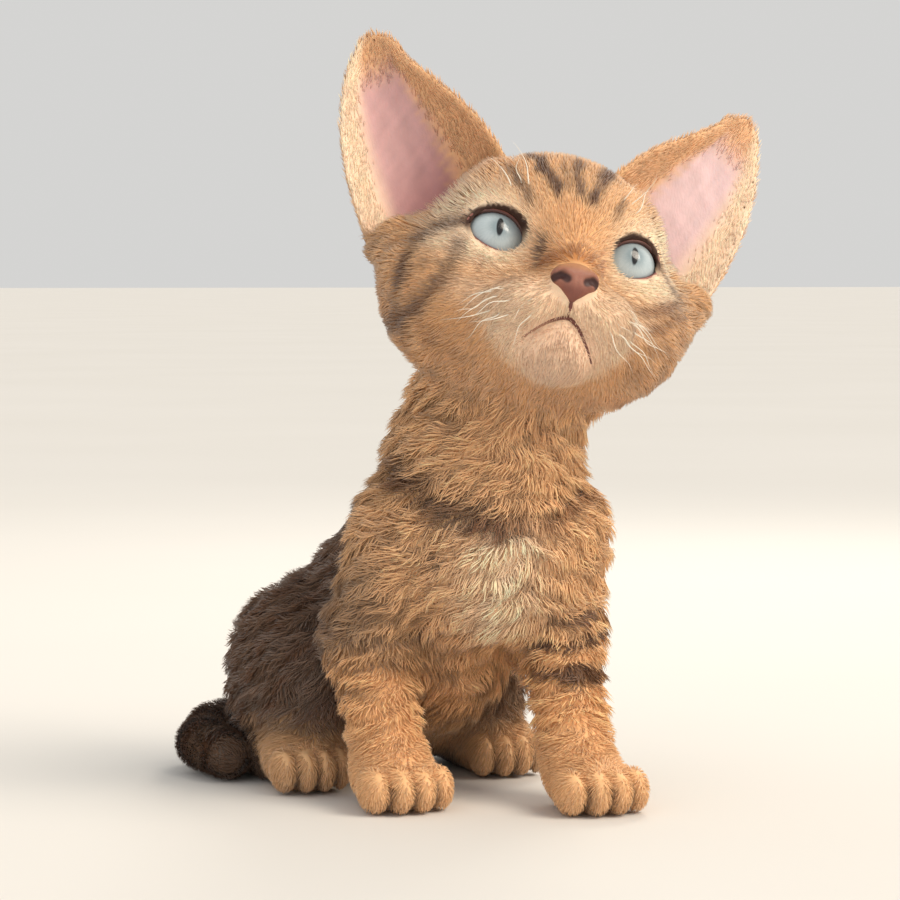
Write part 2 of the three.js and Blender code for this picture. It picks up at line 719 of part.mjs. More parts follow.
function lidOpening(side) {
  const outline = new THREE.Shape();
  const steps = 8;
  for (let i = 0; i < 4 * steps; i++) {
    const angle = (i * Math.PI) / (2 * steps);
    const rise = Math.sin(angle) > 0 ? LID_RISE.upper : LID_RISE.lower;
    const [a, b] = [LID_HALF * Math.cos(angle), rise * Math.sin(angle)];
    if (i) outline.lineTo(a, b);
    else outline.moveTo(a, b);
  }
  const prism = new THREE.ExtrudeGeometry(outline, { depth: 20, bevelEnabled: false });
  return solidOf(prism, eyeFrame(side));
}

function nostril(side) {
  return ball(headFrame, [side * 3.5, -35.2, -12], [1.5, 1.8, 1.2], [10, 6]);
}

let face = headSolid.intersect(head(0)).subtract(mouthLine()).subtract(philtrum());
for (const [name, side] of Object.entries(SIDES)) {
  const socket = EYE_RADIUS + GAP;
  face = face.subtract(ball(headFrame, onSide(EYE, side), [socket, socket, socket], [16, 10]));
  face = face.subtract(lidOpening(side)).subtract(nostril(side));
  const round = [EYE_RADIUS, EYE_RADIUS, EYE_RADIUS];
  nodes[`eye_${name}`] = ball(headFrame, onSide(EYE, side), round, [16, 10]);
}
nodes.head = face;

// The ears

const EAR_HALF_WIDTH = 19;
const EAR_TIP_HALF_WIDTH = 6.2;
const EAR_DEPTH = 14; // how far the cup bows back at the root
const EAR_LEAN = { axis: [0.48, 0.1, 0.87], facing: [0.35, -0.93, 0.05] };
const EAR_ROOT_WRAP = 80; // degrees of bow either side of the middle at the root
const EAR_TIP_WRAP = 42;

// Half the ear's width at a share of its height. The outer edge is full, and the inner one sweeps in from
// the crown in a hollow curve to a tip of its own width.
function earHalfWidth(v, outer) {
  const full = EAR_HALF_WIDTH * (1 - v ** 2.6) ** 0.75 * (1 - 0.08 * v);
  if (outer) return full;
  const hollow = EAR_TIP_HALF_WIDTH + 1.6 * EAR_HALF_WIDTH * Math.max(0, 0.84 - v) ** 1.15;
  return (full ** -8 + hollow ** -8) ** (-1 / 8);
}

// A cupped leaf. u runs from the inner edge to the outer one, -1 to 1, and v from root to tip, 0 to 1.
function earPoint(side, u, v) {
  const axis = vector(onSide(EAR_LEAN.axis, side)).normalize();
  const facing = vector(onSide(EAR_LEAN.facing, side));
  facing.addScaledVector(axis, -facing.dot(axis)).normalize();
  const outward = new THREE.Vector3().crossVectors(facing, axis).multiplyScalar(-side);
  const wrap = radians(EAR_ROOT_WRAP + (EAR_TIP_WRAP - EAR_ROOT_WRAP) * v);
  const half = earHalfWidth(v, u > 0);
  const across = (half * Math.sin(u * wrap)) / Math.sin(wrap);
  const bow = (EAR_DEPTH * (1 - v) ** 0.75 * (Math.cos(u * wrap) - Math.cos(wrap))) / (1 - Math.cos(wrap));
  return vector(onSide([25, 2, 12], side))
    .addScaledVector(axis, EAR_LENGTH * v)
    .addScaledVector(outward, across)
    .addScaledVector(facing, -bow);
}

// Front and back sheets with walls between their borders, as thick as an ear and thinner at its rim.
function earSolid(side) {
  const [columns, rows] = [10, 10];
  const positions = [];
  const place = (i, j) => [(2 * i) / columns - 1, 0.985 * (1 - (1 - j / rows) ** 1.5)];
  for (const face of [0.5, -0.5])
    for (let j = 0; j <= rows; j++)
      for (let i = 0; i <= columns; i++) {
        const [u, v] = place(i, j);
        const step = 0.01;
        const du = earPoint(side, Math.min(1, u + step), v).sub(earPoint(side, Math.max(-1, u - step), v));
        const dv = earPoint(side, u, Math.min(0.99, v + step)).sub(earPoint(side, u, Math.max(0, v - step)));
        const normal = du.cross(dv).normalize();
        const rim = 1 - 0.45 * Math.max(Math.abs(u) ** 4, v ** 6);
        const point = earPoint(side, u, v).addScaledVector(normal, face * EAR_THICKNESS * rim);
        positions.push(...point.toArray());
      }
  const wide = columns + 1;
  const sheet = wide * (rows + 1);
  const at = (i, j, face) => face * sheet + j * wide + i;
  const triangles = [];
  const quad = (a, b, c, d) => triangles.push(a, b, c, a, c, d);
  for (let j = 0; j < rows; j++)
    for (let i = 0; i < columns; i++) {
      quad(at(i, j, 0), at(i + 1, j, 0), at(i + 1, j + 1, 0), at(i, j + 1, 0));
      quad(at(i, j, 1), at(i, j + 1, 1), at(i + 1, j + 1, 1), at(i + 1, j, 1));
    }
  for (let j = 0; j < rows; j++) {
    quad(at(0, j, 0), at(0, j + 1, 0), at(0, j + 1, 1), at(0, j, 1));
    quad(at(columns, j, 0), at(columns, j, 1), at(columns, j + 1, 1), at(columns, j + 1, 0));
  }
  for (let i = 0; i < columns; i++) {
    quad(at(i, 0, 0), at(i, 0, 1), at(i + 1, 0, 1), at(i + 1, 0, 0));
    quad(at(i, rows, 0), at(i + 1, rows, 0), at(i + 1, rows, 1), at(i, rows, 1));
  }
  const geometry = new THREE.BufferGeometry()
    .setAttribute("position", new THREE.Float32BufferAttribute(positions, 3))
    .setIndex(triangles);
  return solidOf(geometry, headFrame);
}

for (const [name, side] of Object.entries(SIDES)) {
  const ear = earSolid(side);
  nodes[`ear_${name}`] = ear.subtract(headGrown);
}

// Finishes
const FINISHES = {
  coat: { color: 0xc69a6b, roughness: 0.9 },
  ear: { color: 0xd9a79c, roughness: 0.8 },
  eye: { color: 0xb9cdd2, roughness: 0.08 },
};
const finishOf = (name) => FINISHES[name.startsWith("ear") ? "ear" : name.startsWith("eye") ? "eye" : "coat"];

const kitten = new THREE.Group();
for (const [name, solid] of Object.entries(nodes)) {
  const material = new THREE.MeshStandardMaterial({ ...finishOf(name), metalness: 0 });
  const mesh = new THREE.Mesh(geometryOf(tidied(largest(solid))), material);
  mesh.name = name;
  kitten.add(mesh);
}

// The origin is the middle of the footprint of the whole kitten, on the floor.
const extent = new THREE.Box3().setFromObject(kitten);
const middle = extent.getCenter(new THREE.Vector3());
kitten.position.set(-middle.x, -middle.y, 0);

export default kitten;
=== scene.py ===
"""A Devon Rex kitten about eight weeks old, sitting with its head raised: skin, wavy coat, eyes and nose.

Shapes are worked out in millimetres in the maker's frame, floor at z = 0 and the kitten facing -Y, and
become metres in the row frame when they are put into a mesh.
"""

from __future__ import annotations

import logging
from dataclasses import dataclass, field
from enum import Enum
from itertools import product

import bpy
import numpy as np
from mathutils import Matrix, Vector


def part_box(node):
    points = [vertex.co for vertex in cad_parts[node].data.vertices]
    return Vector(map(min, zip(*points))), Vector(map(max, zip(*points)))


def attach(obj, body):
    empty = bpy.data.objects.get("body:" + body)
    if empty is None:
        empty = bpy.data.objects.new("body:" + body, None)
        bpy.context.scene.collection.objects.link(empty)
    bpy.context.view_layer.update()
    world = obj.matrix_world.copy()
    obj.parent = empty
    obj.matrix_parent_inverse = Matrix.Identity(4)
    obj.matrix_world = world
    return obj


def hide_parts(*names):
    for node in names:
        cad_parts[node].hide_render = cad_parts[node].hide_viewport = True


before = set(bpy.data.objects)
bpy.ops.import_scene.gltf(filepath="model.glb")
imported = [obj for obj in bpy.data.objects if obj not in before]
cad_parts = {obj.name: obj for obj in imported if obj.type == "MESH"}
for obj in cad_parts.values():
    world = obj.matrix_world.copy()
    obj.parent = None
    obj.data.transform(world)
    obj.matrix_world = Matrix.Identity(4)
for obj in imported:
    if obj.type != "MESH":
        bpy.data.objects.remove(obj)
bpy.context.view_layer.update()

log = logging.getLogger("kitten")
Array = np.ndarray
FAR = 1000.0  # a distance greater than any on the kitten
MM_PER_METRE = 1000
TOE_SPREAD = 0.235  # from toe to toe, as a share of the paw's width
FLESH_NODES = [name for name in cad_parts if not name.startswith("eye")]


class Side(Enum):
    """The kitten's own right and left."""

    RIGHT = -1
    LEFT = 1

    @property
    def label(self) -> str:
        """The side's word in a piece's name."""
        return self.name.lower()


def turned(axis: str, degrees: float) -> Array:
    """The rotation matrix about one axis."""
    return np.array(Matrix.Rotation(np.radians(degrees), 3, axis.upper()))


def unit(vectors: Array) -> Array:
    """Each vector divided by its own length."""
    return vectors / np.maximum(np.linalg.norm(vectors, axis=-1, keepdims=True), 1e-9)


def ramp(low: float, high: float, values: Array) -> Array:
    """A smooth step from 0 to 1: 3t^2 - 2t^3, where t is the share of the way from low to high.

    Args:
        low: the value that gives 0; it may be the greater of the two.
        high: the value that gives 1.
        values: the values to step.
    """
    t = np.clip((values - low) / (high - low), 0, 1)
    return t * t * (3 - 2 * t)


def blended(first: Array, second: Array, share: Array) -> Array:
    """The mix of two colours or vectors by a share for each point.

    Args:
        first: what a share of 0 gives.
        second: what a share of 1 gives.
        share: one number for each point.
    """
    share = np.asarray(share)[..., None]
    return first * (1 - share) + second * share


def swell(points: Array, size: float, seed: float = 0.0) -> Array:
    """A soft irregular value, mostly from -1 to 1: the mean of sines along slanting axes.

    Args:
        points: where it is wanted.
        size: about how wide its lumps are, in mm.
        seed: which of many such patterns.
    """
    total = np.zeros(points.shape[:-1])
    for i in range(4):
        axis = np.array([np.sin(1.7 * i + seed), np.cos(2.3 * i + 1.3 * seed), np.sin(3.1 * i + 0.7 + seed)])
        total += np.sin(points @ unit(axis) * (2 * np.pi / size) * (0.8 + 0.23 * i) + 5.1 * i + seed)
    return total / 4 * 1.4


@dataclass(frozen=True)
class Pose:
    """A frame of its own on the kitten, such as the head's: a turn and an origin."""

    turn: Array
    origin: Array

    def out(self, points: Array) -> Array:
        """Points of this frame, in the maker's frame."""
        return np.asarray(points, float) @ self.turn.T + self.origin

    def into(self, points: Array) -> Array:
        """Points of the maker's frame, in this one."""
        return (points - self.origin) @ self.turn


HEAD = Pose(turned("z", -7.5) @ turned("x", -18.5) @ turned("y", 12.5), np.array([16.5, -16, 122.0]))
BODY = Pose(np.eye(3), np.zeros(3))
EYE_AT = np.array([15.2, -13, 0.8])
EYE_RADIUS = 8.2


def mirrored(point: Array, side: Side) -> Array:
    """The same place on the other side where the side is the right."""
    return np.asarray(point, float) * [side.value, 1, 1]


def lid_turn(side: Side) -> Array:
    """The lids' own turn within the head: x to the outer corner of the left eye, y up, z ahead."""
    return turned("z", side.value * 10) @ turned("y", -side.value * 20) @ turned("x", 90)


# Half the width and height of the lids' opening, and how far its middle is above the eye's.
LID_OPENING = np.array([7.15, 5.15])
LID_RISE = 0.65


def lid_reach(local: Array, side: Side) -> Array:
    """How far points of the head's frame are outside the lids' opening: 1 on its edge."""
    place = (local - mirrored(EYE_AT, side)) @ lid_turn(side)
    reach = np.linalg.norm((place[:, :2] - [0, LID_RISE]) / LID_OPENING, axis=1)
    return np.where(place[:, 2] > 2, reach, FAR)


# The maker's frame meets the row frame at the left eye's middle, which is halfway between its box's corners.
EYE_BOX = [np.array(corner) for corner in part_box("eye_left")]
SHIFT = MM_PER_METRE / 2 * (EYE_BOX[0] + EYE_BOX[1]) - HEAD.out(EYE_AT)


class Clay:
    """A grid of signed distances that forms are blended into, and whose zero level is the surface."""

    MARGIN = 12  # how far round a form its distance is worked out

    def __init__(self, low: tuple[float, ...], high: tuple[float, ...], cell: float) -> None:
        """Starts empty.

        Args:
            low: the grid's lowest corner.
            high: its highest corner.
            cell: the grid's spacing.
        """
        self.low = np.array(low, float)
        self.cell = cell
        self.size = np.ceil((np.array(high) - self.low) / cell).astype(int) + 1
        self.values = np.full(self.size, FAR, np.float32)
        self.pose = BODY

    def window(self, low: Array, high: Array) -> tuple[tuple[slice, ...], Array]:
        """The part of the grid between two corners: its slices and its points."""
        first = np.clip(np.floor((low - self.low) / self.cell).astype(int), 0, self.size)
        last = np.clip(np.ceil((high - self.low) / self.cell).astype(int) + 1, 0, self.size)
        axes = [self.low[i] + self.cell * np.arange(first[i], last[i]) for i in range(3)]
        points = np.stack(np.meshgrid(*axes, indexing="ij"), -1)
        return tuple(slice(a, b) for a, b in zip(first, last)), points

    def take(self, part: tuple[slice, ...], distance: Array, blend: float, cut: bool) -> None:
        """Blends a form into a part of the grid by the smooth minimum d + h(d' - d) - k h(1 - h).

        Args:
            part: the slices of that part.
            distance: the form's distance at each of its points.
            blend: k, how softly the form meets what is there.
            cut: whether the form is taken away instead.
        """
        old = self.values[part]
        if cut:
            share = np.clip(0.5 - 0.5 * (old + distance) / blend, 0, 1)
            self.values[part] = old * (1 - share) - distance * share + blend * share * (1 - share)
            return
        share = np.clip(0.5 + 0.5 * (distance - old) / blend, 0, 1)
        mixed = distance * (1 - share) + old * share - blend * share * (1 - share)
        self.values[part] = np.where(old > FAR / 2, distance, mixed)

    def egg(
        self, centre: Array, radii: tuple, blend: float = 5, turn: Array | None = None, cut: bool = False
    ) -> None:
        """An ellipsoid, whose distance is |p/r| (|p/r| - 1) / |p/r^2|.

        Args:
            centre: its middle in the present pose.
            radii: its half sizes.
            blend: how softly it meets what is there.
            turn: its own turn within the pose.
            cut: whether it is taken away instead.
        """
        axes = self.pose.turn @ (np.eye(3) if turn is None else turn)
        middle, radii = self.pose.out(centre), np.array(radii, float)
        reach = np.sqrt(axes**2 @ radii**2) + self.MARGIN
        part, points = self.window(middle - reach, middle + reach)
        local = (points - middle) @ axes
        near = np.linalg.norm(local / radii, axis=-1)
        slope = np.linalg.norm(local / radii**2, axis=-1)
        self.take(part, near * (near - 1) / np.maximum(slope, 1e-6), blend, cut)

    def limb(
        self, start: Array, end: Array, radii: tuple[float, float], blend: float = 6, cut: bool = False
    ) -> None:
        """A tapering round-ended bar: the distance to its middle line less its radius there.

        Args:
            start: the middle of its first end, in the present pose.
            end: the middle of its last end.
            radii: the radius at either end.
            blend: how softly it meets what is there.
            cut: whether it is taken away instead.
        """
        a, b = self.pose.out(start), self.pose.out(end)
        reach = max(radii) + self.MARGIN
        part, points = self.window(np.minimum(a, b) - reach, np.maximum(a, b) + reach)
        along = b - a
        share = np.clip((points - a) @ along / (along @ along), 0, 1)
        distance = np.linalg.norm(points - a - share[..., None] * along, axis=-1)
        self.take(part, distance - (radii[0] + share * (radii[1] - radii[0])), blend, cut)

    def sheet(self, points: Array, radii: Array, blend: float) -> None:
        """A thin sheet: the union of small balls, of which each grid point takes the least distance.

        Args:
            points: the balls' middles.
            radii: the radius of each.
            blend: how softly the sheet meets what is there.
        """
        reach = 4
        index = np.round((points - self.low) / self.cell).astype(int)
        shell = np.full(self.size, FAR, np.float32)
        for offset in product(range(-reach, reach + 1), repeat=3):
            cells = index + offset
            distance = np.linalg.norm(self.low + cells * self.cell - points, axis=1) - radii
            np.minimum.at(shell, tuple(cells.T), distance.astype(np.float32))
        low, high = index.min(0) - reach, index.max(0) + reach + 1
        part = tuple(slice(a, b) for a, b in zip(low, high))
        self.take(part, shell[part], blend, cut=False)

    def at(self, points: Array) -> Array:
        """The distance at any points, mixed from the eight grid values round each."""
        place = np.clip((points - self.low) / self.cell, 0, self.size - 1.001)
        base = place.astype(int)
        share = place - base
        total = np.zeros(len(points))
        for corner in product((0, 1), repeat=3):
            weight = np.prod(np.where(np.array(corner), share, 1 - share), axis=1)
            total += weight * self.values[tuple((base + corner).T)]
        return total

    def slope(self, points: Array, step: float = 0.9) -> Array:
        """The outward direction at any points, from the change of distance along each axis."""
        parts = [self.at(points + step * axis) - self.at(points - step * axis) for axis in np.eye(3)]
        return unit(np.stack(parts, 1))

    def surface(self) -> tuple[Array, Array]:
        """One vertex in each cell that the zero level crosses, at the mean of the crossings on its edges,
        and one quad across each grid edge that it crosses.

        Returns:
            The vertices and the quads.
        """
        inside = self.values < 0
        cells = self.size - 1
        count = sum(
            inside[i : i + cells[0], j : j + cells[1], k : k + cells[2]].astype(np.int8)
            for i, j, k in product((0, 1), repeat=3)
        )
        active = np.argwhere((count > 0) & (count < 8))
        number = np.full(cells, -1, np.int32)
        number[tuple(active.T)] = np.arange(len(active))
        total, hits = np.zeros((len(active), 3)), np.zeros(len(active))
        for corner in product((0, 1), repeat=3):
            for axis in range(3):
                if corner[axis]:
                    continue
                end = np.array(corner) + np.eye(3, dtype=int)[axis]
                here = self.values[tuple((active + corner).T)]
                there = self.values[tuple((active + end).T)]
                crossed = (here < 0) != (there < 0)
                share = np.where(crossed, here / np.where(crossed, here - there, 1), 0)
                total += np.where(crossed[:, None], corner + share[:, None] * np.eye(3)[axis], 0)
                hits += crossed
        vertices = (active + total / hits[:, None]) * self.cell + self.low
        quads = []
        for axis in range(3):
            u, w = (axis + 1) % 3, (axis + 2) % 3
            near, far = [slice(None)] * 3, [slice(None)] * 3
            near[axis], far[axis] = slice(0, -1), slice(1, None)
            here = inside[tuple(near)]
            edges = np.argwhere(here != inside[tuple(far)])
            edges = edges[(edges[:, u] > 0) & (edges[:, w] > 0)]
            edges = edges[(edges[:, u] < self.size[u] - 1) & (edges[:, w] < self.size[w] - 1)]
            ring = np.zeros((4, 3), int)
            ring[1:3, u] = -1
            ring[2:4, w] = -1
            quad = np.stack([number[tuple((edges + offset).T)] for offset in ring], 1)
            quads.append(np.where(here[tuple(edges.T)][:, None], quad, quad[:, ::-1]))
        return vertices, np.concatenate(quads)


def normals_of(vertices: Array, faces: Array) -> Array:
    """Each vertex's normal: the sum of the cross products of the diagonals of the faces that meet there."""
    first = vertices[faces[:, 2]] - vertices[faces[:, 0]]
    second = vertices[faces[:, -1]] - vertices[faces[:, 1]]
    across = np.cross(first, second)
    total = np.zeros_like(vertices)
    for corner in faces.T:
        np.add.at(total, corner, across)
    return unit(total)


def relaxed(vertices: Array, faces: Array, share: float, times: int) -> Array:
    """The vertices moved a share of the way to the mean of their neighbours, several times."""
    for _ in range(times):
        total, hits = np.zeros_like(vertices), np.zeros(len(vertices))
        for near, far in zip(faces.T, np.roll(faces, 1, axis=1).T):
            np.add.at(total, near, vertices[far])
            np.add.at(total, far, vertices[near])
            np.add.at(hits, near, 1)
            np.add.at(hits, far, 1)
        vertices = vertices * (1 - share) + share * total / hits[:, None]
    return vertices


def made(name: str, points: Array, faces: Array, colours: Array | None = None) -> bpy.types.Object:
    """Puts arrays into a mesh, in metres in the row frame.

    Args:
        name: the piece's name.
        points: its vertices in millimetres in the maker's frame.
        faces: its faces, all with the same number of corners.
        colours: the markings at its vertices.

    Returns:
        The new object, riding on the body.
    """
    mesh = bpy.data.meshes.new(name)
    mesh.vertices.add(len(points))
    mesh.vertices.foreach_set("co", ((points + SHIFT) / MM_PER_METRE).astype(np.float32).ravel())
    mesh.loops.add(faces.size)
    mesh.loops.foreach_set("vertex_index", faces.astype(np.int32).ravel())
    mesh.polygons.add(len(faces))
    mesh.polygons.foreach_set("loop_start", np.arange(0, faces.size, faces.shape[1], dtype=np.int32))
    mesh.update(calc_edges=True)
    mesh.shade_smooth()
    if colours is not None:
        layer = mesh.color_attributes.new("markings", "FLOAT_COLOR", "POINT")
        opaque = np.concatenate([colours, np.ones((len(colours), 1))], 1)
        layer.data.foreach_set("color", opaque.astype(np.float32).ravel())
    piece = bpy.data.objects.new(name, mesh)
    bpy.context.scene.collection.objects.link(piece)
    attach(piece, "root")
    return piece


def unwrapped(piece: bpy.types.Object, name: str, places: Array) -> None:
    """Gives a mesh a UV map from one place for each vertex."""
    mesh = piece.data
    corners = np.empty(len(mesh.loops), np.int32)
    mesh.loops.foreach_get("vertex_index", corners)
    layer = mesh.uv_layers.new(name=name)
    layer.uv.foreach_set("vector", places[corners].astype(np.float32).ravel())


def tube(path: Array, widths: Array, heights: Array, ups: Array, sides: int = 8, ring: bool = False) -> tuple:
    """An elliptical section carried along a path: p + w cos(a) across + h sin(a) up.

    Args:
        path: the points of its middle line.
        widths: half its width at each of them.
        heights: half its height at each of them.
        ups: which way is up at each of them.
        sides: how many sides the section has.
        ring: whether the path closes on itself.

    Returns:
        The vertices and the quads. An open tube with an even number of sides is closed by quads at its
        ends; with an odd number, one triangle there stays open.
    """
    step = np.roll(path, -1, 0) - np.roll(path, 1, 0) if ring else np.gradient(path, axis=0)
    across = unit(np.cross(step, ups))
    up = unit(np.cross(across, step))
    angle = np.arange(sides) * 2 * np.pi / sides
    circle = np.cos(angle)[None, :, None] * across[:, None] * widths[:, None, None]
    circle = circle + np.sin(angle)[None, :, None] * up[:, None] * heights[:, None, None]
    vertices = (path[:, None] + circle).reshape(-1, 3)
    rows = len(path) if ring else len(path) - 1
    i, j = np.meshgrid(np.arange(rows), np.arange(sides), indexing="ij")
    following, beside = (i + 1) % len(path) * sides, (j + 1) % sides
    corner = [i * sides + j, i * sides + beside, following + beside, following + j]
    quads = np.stack(corner, -1).reshape(-1, 4)
    if not ring:
        ends = np.arange(sides)
        for base, order in ((0, ends[::-1]), ((len(path) - 1) * sides, ends)):
            cap = [base + order[[0, k, k + 1, k + 2]] for k in range(1, sides - 2, 2)]
            quads = np.concatenate([quads, np.array(cap)])
    return vertices, quads


def joined(parts: list[tuple[Array, Array]]) -> tuple[Array, Array]:
    """Several meshes as one: their vertices end to end, and their faces counted on."""
    starts = np.cumsum([0] + [len(vertices) for vertices, _ in parts])
    faces = [faces + start for (_, faces), start in zip(parts, starts)]
    return np.concatenate([vertices for vertices, _ in parts]), np.concatenate(faces)


def near_path(points: Array, path: Array) -> tuple[Array, Array]:
    """Each point's distance from a bent line, and how far along it the nearest place is, in mm."""
    best, along = np.full(len(points), FAR), np.zeros(len(points))
    run = 0.0
    for a, b in zip(path[:-1], path[1:]):
        length = np.linalg.norm(b - a)
        share = np.clip((points - a) @ (b - a) / length**2, 0, 1)
        distance = np.linalg.norm(points - a - share[:, None] * (b - a), axis=1)
        along = np.where(distance < best, run + share * length, along)
        best = np.minimum(best, distance)
        run += length
    return best, along


@dataclass
class Leg:
    """One leg's joints and its paw's width."""

    joints: tuple[tuple[float, float, float], ...]
    paw: tuple[float, float, float]
    width: float
    turn: float = 0.0


@dataclass
class Form:
    """The kitten's flesh, with the sizes of every part of it."""

    chest: float = 26.0
    forearm: float = 10.0
    forelegs: tuple[Leg, ...] = (
        Leg(((-13, -2, 62), (-19, 4, 38), (-18.5, -8, 12)), (-18.5, -13, 6), 23),
        Leg(((24, -8, 62), (26, -4, 38), (22, -24, 12)), (22, -32, 6), 23),
    )
    hindlegs: tuple[Leg, ...] = (
        Leg(((-27, 38, 24), (-30, 46, 8)), (-30, 19, 6.5), 20, 6),
        Leg(((21, 40, 24), (24, 50, 8)), (23, 24, 6.5), 20, -6),
    )
    tail_path: Array = field(
        default_factory=lambda: np.array(
            [[-2, 64, 12], [-24, 70, 9.5], [-38, 64, 8.5], [-45, 51, 7.8], [-43, 38, 6.5]], float
        )
    )
    tail_radii: tuple[float, ...] = (8.5, 7.78, 7.06, 6.33, 5.61)

    def trunk(self, clay: Clay) -> None:
        """The rump, loin, chest, belly and neck."""
        half = self.chest
        clay.egg((-5, 44, 25), (half + 1, 27, 26))
        clay.limb((-4, 38, 34), (5, 1, 71), (half - 1, half - 5), 10)
        clay.egg((7, -6, 60), (half, half - 5, half), 10)
        clay.egg((1, 18, 36), (half - 3, 24, 24), 8)
        clay.limb((7, -4, 82), (14, -10, 104), (half - 2.5, half - 5), 8)

    def paw(self, clay: Clay, leg: Leg) -> None:
        """A low pad with four toes fanned across its front."""
        x, y, z = leg.paw
        clay.egg(leg.paw, (leg.width / 2 - 1, leg.width / 2, 7.2), 5)
        for place in (-1.5, -0.5, 0.5, 1.5):
            toe = (x + place * leg.width * TOE_SPREAD, y - leg.width * (0.38 - 0.05 * place**2), z - 0.6)
            clay.egg(toe, (leg.width * 0.15, leg.width * 0.27, 5.6), 1.2, turned("z", -5 * place))

    def legs(self, clay: Clay) -> None:
        """Haunches, hocks, forelegs and paws."""
        for leg in self.hindlegs:
            thigh, heel = leg.joints
            clay.egg(thigh, (14, 26, 24), 8, turned("z", leg.turn))
            clay.limb(heel, (leg.paw[0], leg.paw[1] + 6, leg.paw[2] + 0.5), (8.5, 7.5), 5)
            self.paw(clay, leg)
        for leg in self.forelegs:
            shoulder, elbow, wrist = leg.joints
            clay.limb(shoulder, elbow, (self.forearm + 4, self.forearm + 1.5), 8)
            clay.limb(elbow, wrist, (self.forearm + 1.5, self.forearm - 0.5))
            self.paw(clay, leg)

    def tail(self, clay: Clay) -> None:
        """The tail, laid round the right haunch."""
        for i, (start, end) in enumerate(zip(self.tail_path[:-1], self.tail_path[1:])):
            clay.limb(start, end, self.tail_radii[i : i + 2], 1.5 if i else 5)

    def head(self, clay: Clay) -> None:
        """The skull, cheeks, ruffs under the ears, whisker pads, bridge, chin, throat, nose and lids."""
        clay.pose = HEAD
        clay.egg((0, 3, 3), (28.5, 29, 25))
        clay.egg((0, -11, 9), (22, 14, 15), 8)
        for side in Side:
            clay.egg((18.5 * side.value - 1.6, -5, -11), (15.5, 17, 13.5), 9)
            clay.limb((36.5 * side.value + 1.6, 4, 3), (20.5 * side.value - 1.6, 1, -12.5), (5, 9.5), 16)
            clay.egg((7.5 * side.value, -24.5, -17), (9.5, 9, 7.6), 7)
        clay.limb((0, -19, 4), (0, -28.5, -9), (8, 6))
        clay.egg((0, -24, -26.5), (8, 6.5, 5.5), 4)
        clay.egg((0, -8, -22), (18, 18, 11), 8)
        clay.egg((0, -31.6, -12), (6.0, 4.2, 4.4), 1.5)
        for side in Side:
            clay.egg(mirrored(EYE_AT, side), (9.6, 9.6, 9.6), 3)
        clay.pose = BODY


def head_depth(points: Array) -> Array:
    """How far a point is above the plane where the head meets the neck."""
    normal = unit(np.array([0.12, -0.3, 0.95]))
    return (points - [14, -12, 99]) @ normal


def coat_depth(points: Array) -> Array:
    """How deep the coat is: least on the feet and face, more on the crown, and most on neck and trunk."""
    body = 0.75 + 1.75 * ramp(7, 24, points[..., 2])
    local = HEAD.into(points)
    crown = 0.7 + 0.75 * ramp(-20, -4, local[..., 1])
    return blended(body[..., None], crown[..., None], ramp(-8, 6, head_depth(points)))[..., 0]


